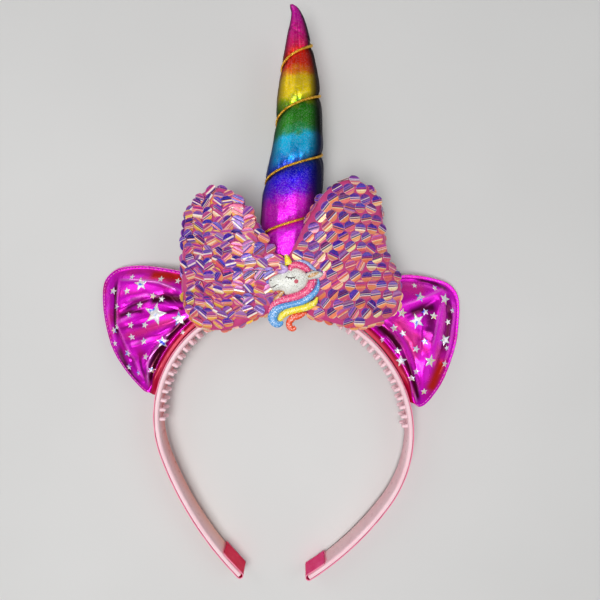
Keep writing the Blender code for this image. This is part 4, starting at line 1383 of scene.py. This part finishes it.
def make_sequins(side, tree, finish, front):
    """Sequins on the front or back of a wing and over its edge."""
    lay = SEQUIN_LAY[side]
    chance = random.Random(lay["seeds"][0 if front else 1])
    body = Body()
    tip = lay["tip"] * (-1 if side == "left" and not front else 1)
    for row in range(*lay["rows"]):
        for column in range(*lay["columns"]):
            x, y, slant = lay["place"](row, column, chance)
            if not inside_wing(side, x, y, lay["inset"] * MM):
                continue
            spot = placed((x, y, 0.0))
            found = dropped(tree, spot.x, spot.y, front)
            if found is None:
                continue
            point, normal = found
            angle = radians(slant + chance.uniform(-lay["wander"], lay["wander"]))
            if chance.random() < lay["odd"]:
                angle = radians(chance.uniform(*lay["odd_span"]))
            across, down = (chance.uniform(-most, most) for most in lay["lean"])
            tipped = (normal + Vector((across, lay["droop"] + down, 0.0)) * tip).normalized()
            crease = Vector((cos(angle), sin(angle), 0.0))
            size = (chance.uniform(*lay["long"]) * MM, chance.uniform(*lay["wide"]) * MM)
            size += (chance.uniform(*lay["relief"]),)
            bands = sequin_bands(chance, lay["style"])
            add_sequin(body, point + normal * lay["lift"] * MM, tipped, crease, size, bands)
    add_edge_sequins(body, tree, side, front, chance)
    name = "sequins_" + side + ("_front" if front else "_back")
    return body.piece(name, finish, "pink_sequin_cloth")


def ear_edge_point(side, share):
    """Point of an ear's outer edge, at a share of its run, in the flat frame."""
    along, out_share = run_at(EAR_EDGE[side], share)
    point, out = band_frame(SIDE_SIGN[side] * EAR_MIDDLE)
    down = Vector((out.y, -out.x)) * SIDE_SIGN[side]
    return point + down * along * EAR_BASE + out * out_share * EAR_REACH


def ear_base_point(side, share):
    """Point of an ear's inner edge beside the ribbon, at the same share."""
    edge = EAR_EDGE[side]
    distance = mix(EAR_MIDDLE + edge[0][0] * EAR_BASE, EAR_MIDDLE + edge[-1][0] * EAR_BASE, share)
    point, out = band_frame(SIDE_SIGN[side] * distance)
    return point + out * EAR_GAP


def ear_placed(side, flat, level):
    """Point of an ear in the row's frame: laid down, then sloped back from its root."""
    point, out = band_frame(SIDE_SIGN[side] * EAR_MIDDLE)
    root = placed((point.x, point.y, 0.0))
    spot = placed((flat.x, flat.y, level))
    spot.z -= EAR_FALL[side] * (out.x * (spot.x - root.x) + out.y * (spot.y - root.y))
    spot.z = max(spot.z, 0.1 * MM)
    return spot


def ear_level(along, out_share, reach):
    """Half the ear's thickness at a place in it, from its seams to its crown."""
    seam = EAR_SEAM_THICKNESS / 2
    from_edge = (1.0 - out_share) * reach
    rise = smooth_step((from_edge - 0.75 * EAR_SEAM) / (EAR_SHOULDER * EAR_REACH))
    ends = max(0.0, sin(pi * along)) ** EAR_FULLNESS
    from_band = mix(EAR_ROOT, 1.0, smooth_step(out_share / EAR_ROOT_RUN))
    return seam + (EAR_THICKNESS / 2 - seam) * ends * rise**0.62 * from_band


def distance_to_line(places, line):
    """Distance of each place from a chain of points, and the share along the chain there."""
    best = np.full(len(places), 1e9)
    share = np.zeros(len(places))
    pieces = len(line) - 1
    for index in range(pieces):
        a, b = np.array(line[index]), np.array(line[index + 1])
        step = b - a
        t = np.clip(((places - a) @ step) / (step @ step), 0, 1)
        gap = np.linalg.norm(places - (a + t[:, None] * step), axis=1)
        closer = gap < best
        best[closer] = gap[closer]
        share[closer] = (index + t[closer]) / pieces
    return best, share


def ear_folds(side, places):
    """Height of the foil's folds at places in the plane: the named creases and a fan of fine ones."""
    height = np.zeros(len(places))
    for rise, width, pixels in EAR_FOLDS[side]:
        line = [at_pixel(across, down, 12 * MM).xy for across, down in pixels]
        gap, share = distance_to_line(places, line)
        near = gap / (width * MM * 0.62)
        ends = np.clip(np.minimum(share, 1 - share) * 6 + 0.15, 0, 1)
        height += rise * MM * np.exp(-(near**1.5)) * ends
    across, down, strength = EAR_FAN[side]
    fan = at_pixel(across, down, 14 * MM).xy
    for index, (x, y) in enumerate(places):
        away = Vector((x, y)) - fan
        angle = atan2(away.y, away.x)
        reach = away.length / MM
        sharp = 1 - abs(noise.noise(Vector((cos(angle) * 4.5, sin(angle) * 4.5, reach / 70)))) * 2.6
        soft = noise.noise(Vector((x, y, 0.0)) / (9 * MM))
        height[index] += (strength * sharp + 0.3 * soft) * MM * min(1.0, reach / 9)
    return height


def ear_tones(side, places):
    """Shares of the painted tones of reflection, shade and highlight at places in the plane."""
    tones = {name: np.zeros(len(places)) for name in ("dark", "warm", "pink", "vivid_highlight", "pale")}
    for name, strength, width, pixels in EAR_TONES[side]:
        line = [at_pixel(across, down, 12 * MM).xy for across, down in pixels]
        gap, share = distance_to_line(places, line)
        ends = np.clip(np.minimum(share, 1 - share) * 5 + 0.3, 0, 1)
        tone = strength * np.exp(-((gap / (width * MM)) ** 3.0)) * ends
        tones[name] = np.maximum(tones[name], tone)
    return tones


def make_ear(side, finish):
    """Padded foil ear: two foils round a filling, folded from the root, with a flat seam border."""
    along_steps, out_steps = EAR_STEPS
    flats, levels, shares, outs, reaches = [], [], [], [], []
    for number in range(along_steps + 1):
        along = mix(EAR_INSET, 1 - EAR_INSET, number / along_steps)
        inner, outer = ear_base_point(side, along), ear_edge_point(side, along)
        reach = (outer - inner).length
        for step in range(out_steps + 1):
            share = step / out_steps
            share = mix(share, smooth_step(share), 0.35)
            flats.append(inner.lerp(outer, share))
            levels.append(ear_level(along, share, reach))
            shares.append(along)
            outs.append(share)
            reaches.append(reach)
    middle = [ear_placed(side, flat, 0.0) for flat in flats]
    places = np.array([(point.x, point.y) for point in middle])
    folds = ear_folds(side, places)
    tones = ear_tones(side, places)
    back_folds = ear_folds(side, places * np.array([1.0, 0.93]) + np.array([0.0, 3.0 * MM]))
    front, back = [], []
    values = {name: [] for name in ("valley_shade", "root", "warm", "pink", "vivid_highlight", "pale")}
    for index in range(len(flats)):
        from_edge = (1 - outs[index]) * reaches[index]
        from_root = outs[index] * reaches[index]
        body = smooth_step((from_edge - 0.7 * EAR_SEAM) / (3.5 * MM))
        body *= smooth_step((from_root - EAR_ROLL) / (3.0 * MM))
        body *= smooth_step(min(shares[index], 1 - shares[index]) / 0.05)
        crease = 1.5 * MM * exp(-((from_root - EAR_ROLL) / (0.8 * MM)) ** 2)
        rolled = 0.4 * MM * sin(pi * min(1.0, from_root / EAR_ROLL))
        level = levels[index] + rolled
        ease = smooth_step(min(from_edge, reaches[index] * 0.5) / (3 * MM))
        front_level = level + (folds[index] * body - crease * ease)
        back_level = level * 0.94 + min(0.3 * MM, back_folds[index] * body * 0.7)
        front.append(ear_placed(side, flats[index], max(0.4 * MM, front_level)))
        back.append(ear_placed(side, flats[index], -max(0.4 * MM, back_level)))
        # Painted shade in the fold valleys, joined with the painted dark reflections
        low = min(1.0, max(0.0, -folds[index] / (1.1 * MM))) * 0.45
        inside = smooth_step((from_edge - 1.1 * MM) / (0.8 * MM))
        inside *= smooth_step((from_root - EAR_ROLL + 0.4 * MM) / (0.5 * MM))
        values["valley_shade"].append(max(low * body, tones["dark"][index] * inside))
        # Painted highlights and reflections, kept off the seam and the rolled root
        values["vivid_highlight"].append(tones["vivid_highlight"][index] * inside * (1 - tones["dark"][index]))
        for name in ("warm", "pink", "pale"):
            values[name].append(tones[name][index] * inside)
        # Painted crimson reflection of the ribbon on the rolled root
        values["root"].append(smooth_step((EAR_ROLL + 0.1 * MM - from_root) / (0.6 * MM)))
    faces = closed_grid(along_steps + 1, out_steps + 1)
    values = {name: row * 2 for name, row in values.items()}
    ear = piece_of("ear_foil_" + side, front + back, faces, finish, "magenta_foil", values)
    face_out(ear)
    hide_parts("ear_" + side)
    return ear


def make_ear_seam(side, finish):
    """Bound edge of an ear and the row of stitches inside it."""
    body = Body()
    steps = 260
    edge, inner = [], []
    for number in range(steps + 1):
        share = mix(0.02, 0.98, number / steps)
        outer = ear_edge_point(side, share)
        toward = (ear_base_point(side, share) - outer).normalized()
        edge.append(ear_placed(side, outer, 0.0))
        inner.append((share, outer + toward * EAR_SEAM * 0.55))
    body.add(*skin(tube(edge, 0.42 * MM, 8)))
    stitch, travelled, start = 1.35 * MM, 0.0, None
    line = [ear_placed(side, spot, EAR_SEAM_THICKNESS / 2 + 0.02 * MM) for _, spot in inner]
    for index in range(1, len(line)):
        travelled += (line[index] - line[index - 1]).length
        if start is None and travelled > 0.35 * MM:
            start, travelled = line[index], 0.0
        elif start is not None and travelled > stitch * 0.72:
            end = line[index]
            middle = (start + end) / 2 + Vector((0, 0, 0.16 * MM))
            body.add(*skin(tube([start, middle, end], lambda t: (0.10 + 0.07 * sin(pi * t)) * MM, 6)))
            start, travelled = None, 0.0
    return body.piece("ear_seam_" + side, finish, "magenta_foil")


def star_points(radius, turn):
    """Corners of a five-pointed star."""
    corners = []
    for number in range(10):
        size = radius if number % 2 == 0 else radius * STAR_WAIST
        corners.append(unit(pi / 2 + turn + pi * number / 5) * size)
    return corners


def add_star(body, tree, centre, radius, turn, front=True):
    """Printed star that follows the foil's surface, a thin closed film."""
    corners = star_points(radius, turn)
    steps = 5
    top, faces, index_of = [], [], {}
    film = 0.05 * MM

    def vert(spot):
        key = (round(spot.x * 1e7), round(spot.y * 1e7))
        if key not in index_of:
            found = dropped(tree, centre.x + spot.x, centre.y + spot.y, front)
            if found is None:
                return None
            index_of[key] = len(top)
            top.append(found)
        return index_of[key]

    for number in range(10):
        a, b = corners[number], corners[(number + 1) % 10]
        grid = []
        for row in range(steps + 1):
            out = row / steps
            shares = [col / max(row, 1) for col in range(row + 1)]
            grid.append([vert(a * out * (1 - share) + b * out * share) for share in shares])
        for row in range(steps):
            for col in range(row + 1):
                faces.append((grid[row][col], grid[row + 1][col], grid[row + 1][col + 1]))
                if col < row:
                    faces.append((grid[row][col], grid[row + 1][col + 1], grid[row][col + 1]))
    if any(None in face for face in faces):
        return
    count = len(top)
    edges = {}
    for face in faces:
        for index, vertex in enumerate(face):
            pair = (vertex, face[(index + 1) % 3])
            edges[frozenset(pair)] = None if frozenset(pair) in edges else pair
    closed = list(faces) + [tuple(count + vertex for vertex in reversed(face)) for face in faces]
    for pair in edges.values():
        if pair is not None:
            closed.append((pair[1], pair[0], count + pair[0], count + pair[1]))
    points = [point + normal * film for point, normal in top]
    points += [point - normal * film for point, normal in top]
    body.add(points, closed)


def make_stars(side, ear, finish):
    """Printed stars on both sides of an ear."""
    tree = surface_of(ear)
    body = Body()
    chance = random.Random(21 if side == "left" else 22)
    pixel = CAMERA_PLACE[2] / FOCAL_PIXELS * 0.94
    for across, down, radius in EAR_STARS[side]:
        centre = at_pixel(across, down, 10 * MM)
        found = dropped(tree, centre.x, centre.y)
        if found is None:
            continue
        centre = at_pixel(across, down, found[0].z)
        add_star(body, tree, centre, radius * pixel, chance.uniform(-0.35, 0.35))
    for across, down, radius in EAR_STARS[side]:
        centre = at_pixel(across + chance.uniform(-4, 4), down + chance.uniform(-4, 4), 6 * MM)
        add_star(body, tree, centre, radius * pixel * 0.95, chance.uniform(-3, 3), front=False)
    return body.piece("ear_stars_" + side, finish, "magenta_foil")


def charm_point(across, down, lift):
    """Point of the cast head at a pixel, a lift above its back."""
    flat = at_pixel(across, down, CHARM_LEVEL)
    back = CHARM_FOOT[1] + (flat.y - CHARM_FOOT[0]) * sin(TILT)
    spot = at_pixel(across, down, back + 2.5 * MM)
    return Vector((spot.x, spot.y, back + lift))


def make_charm_strokes(finishes):
    """Raised glitter locks, each a round-topped stroke."""
    pixel = (CAMERA_PLACE[2] - CHARM_LEVEL) / FOCAL_PIXELS
    for name, tone, rise, rows in CHARM_STROKES:
        steps = 12 * (len(rows) - 1)
        arch = 12
        widest = max(row[2] for row in rows)
        rings = []
        samples = [run_at(rows, number / steps) for number in range(steps + 1)]
        for index, (across, down, half) in enumerate(samples):
            before, after = samples[max(index - 1, 0)], samples[min(index + 1, steps)]
            along = Vector((after[0] - before[0], before[1] - after[1])).normalized()
            beside = Vector((-along.y, along.x))
            crown = rise * (0.55 + 0.45 * sqrt(max(0.05, half / widest)))
            ring = []
            for number in range(arch + 1):
                angle = pi * number / arch
                lift = CHARM_BASE + crown * 1.35 * MM * max(0.0, sin(angle)) ** 0.62
                spot = charm_point(across, down, lift)
                reach = half * 1.14 * pixel * cos(angle)
                ring.append(spot + Vector((beside.x * reach, beside.y * reach, 0.0)))
            for end in (ring[-1], ring[0]):
                ring.append(Vector((end.x, end.y, end.z - CHARM_BASE)))
            rings.append(ring)
        body = Body()
        body.add(*skin(rings))
        stroke = body.piece("charm_" + name, finishes[tone], "painted_resin")
        set_sharp(stroke, 55)


def cushion_rings(outline, crown, base, steps=14):
    """Rings of a domed form over an outline of pixels, from its foot to its crown."""
    count = 96
    closed = [outline[-1], *outline, *outline[:3]]
    loop = []
    for number in range(count):
        share = (1 + len(outline) * number / count) / (len(closed) - 1)
        loop.append(run_at(closed, share))
    middle_x = sum(point[0] for point in loop) / count
    middle_y = sum(point[1] for point in loop) / count
    rings = [[charm_point(x, y, 0.0) for x, y in loop]]
    for step in range(steps + 1):
        share = step / steps
        size = max(1 - share, 0.02)
        lift = base + crown * (1 - (1 - share) ** 2.6) ** 0.5
        rings.append([
            charm_point(middle_x + (x - middle_x) * size, middle_y + (y - middle_y) * size, lift)
            for x, y in loop
        ])
    return rings


def make_charm_head(finishes, line_finish, cheek_finish):
    """White glitter head with its ear, closed eye, nostril, mouth and cheek."""
    body = Body()
    body.add(*skin(cushion_rings(CHARM_HEAD, 2.3 * MM, CHARM_BASE)))
    body.add(*skin(cushion_rings(CHARM_EAR, 1.9 * MM, CHARM_BASE + 0.5 * MM)))
    head = body.piece("charm_head", finishes["white"], "painted_resin")
    set_sharp(head, 55)
    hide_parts("charm")
    tree = surface_of(head)
    inside = Body()
    rings = cushion_rings(CHARM_EAR_INSIDE, 0.35 * MM, 0.0)
    inside.add(*skin(laid_on(tree, rings, 0.10 * MM, 0.3 * MM)))
    inside.piece("charm_ear_inside", finishes["tan"], "painted_resin")
    lines = Body()
    for _, radius, rows in CHARM_LINES:
        steps = 5 * (len(rows) - 1)
        path = []
        for number in range(steps + 1):
            across, down = run_at(rows, number / steps) if len(rows) > 2 else (
                mix(rows[0][0], rows[1][0], number / steps), mix(rows[0][1], rows[1][1], number / steps))
            path.append(on_surface(tree, charm_point(across, down, 0.0), 0.02 * MM))
        width = radius * 0.58 * MM
        lines.add(*skin(tube(path, lambda t, w=width: w * (0.45 + 0.55 * sin(pi * min(1, max(0, t)))), 8)))
    lines.piece("charm_lines", line_finish, "painted_resin")
    across, down, radius = CHARM_CHEEK
    angles = [2 * pi * number / 12 for number in range(12)]
    dot = [(across + radius * cos(angle), down + radius * sin(angle)) for angle in angles]
    rings = cushion_rings(dot, 0.1 * MM, 0.0, steps=6)
    cheek = Body()
    cheek.add(*skin(laid_on(tree, rings, 0.0, 0.12 * MM)))
    cheek.piece("charm_cheek", cheek_finish, "painted_resin")


def on_surface(tree, point, lift):
    """Point moved onto the surface below or above it."""
    found = dropped(tree, point.x, point.y)
    if found is None:
        return point
    return found[0] + found[1] * lift


def laid_on(tree, rings, foot, rise):
    """Rings laid on a surface, the first at a foot and the others a rise above it."""
    laid = []
    for index, ring in enumerate(rings):
        lift = foot + rise * (index > 0)
        laid.append([on_surface(tree, point, lift) for point in ring])
    return laid


def make_floor(finish):
    """Pale floor under the headband, much wider than it."""
    half = 3.0
    points = [(-half, -half, 0.0), (half, -half, 0.0), (half, half, 0.0), (-half, half, 0.0)]
    floor = piece_of("floor", points, [(0, 1, 2, 3)], finish)


def make_camera():
    """Camera of the photograph's angle: straight down, +Y up in the picture."""
    data = bpy.data.cameras.new("camera")
    data.lens = CAMERA_LENS
    data.sensor_width = CAMERA_SENSOR
    data.clip_start = 0.01
    camera = bpy.data.objects.new("camera", data)
    camera.location = CAMERA_PLACE
    bpy.context.scene.collection.objects.link(camera)
    bpy.context.scene.camera = camera


def add_light(name, place, target, size, power, screen=(255, 255, 255)):
    """Soft rectangular light aimed at a point."""
    data = bpy.data.lights.new(name, "AREA")
    data.shape = "RECTANGLE"
    data.size, data.size_y = size
    data.energy = power
    data.color = colour(screen)
    light = bpy.data.objects.new(name, data)
    light.location = place
    aim = Vector(target) - Vector(place)
    light.rotation_mode = "QUATERNION"
    light.rotation_quaternion = aim.to_track_quat("-Z", "Y")
    bpy.context.scene.collection.objects.link(light)


def make_lights():
    """Plain soft studio light: one panel nearly overhead, two weaker ones and a dim surround."""
    add_light("key", (-0.10, -0.14, 0.75), (0.0, 0.0, 0.0), (0.34, 0.44), 4.4)
    add_light("fill", (0.75, 0.25, 0.75), (0.0, 0.0, 0.0), (0.5, 0.5), 1.2)
    add_light("back", (-0.7, 0.6, 0.6), (0.0, 0.0, 0.0), (0.4, 0.6), 1.2)
    world = bpy.data.worlds.new("studio")
    world.use_nodes = True
    surround = world.node_tree.nodes["Background"]
    surround.inputs["Color"].default_value = (0.80, 0.82, 0.86, 1.0)
    surround.inputs["Strength"].default_value = 0.23
    bpy.context.scene.world = world
    bpy.context.scene.view_settings.view_transform = "Standard"


def main():
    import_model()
    make_camera()
    make_lights()
    make_floor(floor_finish())

    make_headband(plastic_finish())
    make_ribbon(satin_finish())
    make_horn(lame_finish())
    make_horn_cord(gold_finish())

    bow = make_bow_cloth(bow_cloth_finish())
    bow_tree = surface_of(bow)
    film = sequin_finish()
    for front in (True, False):
        make_sequins("left", bow_tree, film, front)
        make_sequins("right", bow_tree, film, front)

    thread, silver = seam_finish(), star_finish()
    for side in ("left", "right"):
        ear = make_ear(side, foil_finish("magenta foil " + side))
        make_ear_seam(side, thread)
        make_stars(side, ear, silver)

    finishes = {name: glitter_finish(name) for name in GLITTER}
    brown, rose = paint_finish("brown lines", (64, 34, 26)), paint_finish("cheek paint", (226, 70, 96))
    make_charm_head(finishes, brown, rose)
    make_charm_strokes(finishes)

    for piece in PIECES:
        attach(piece, "root")


main()
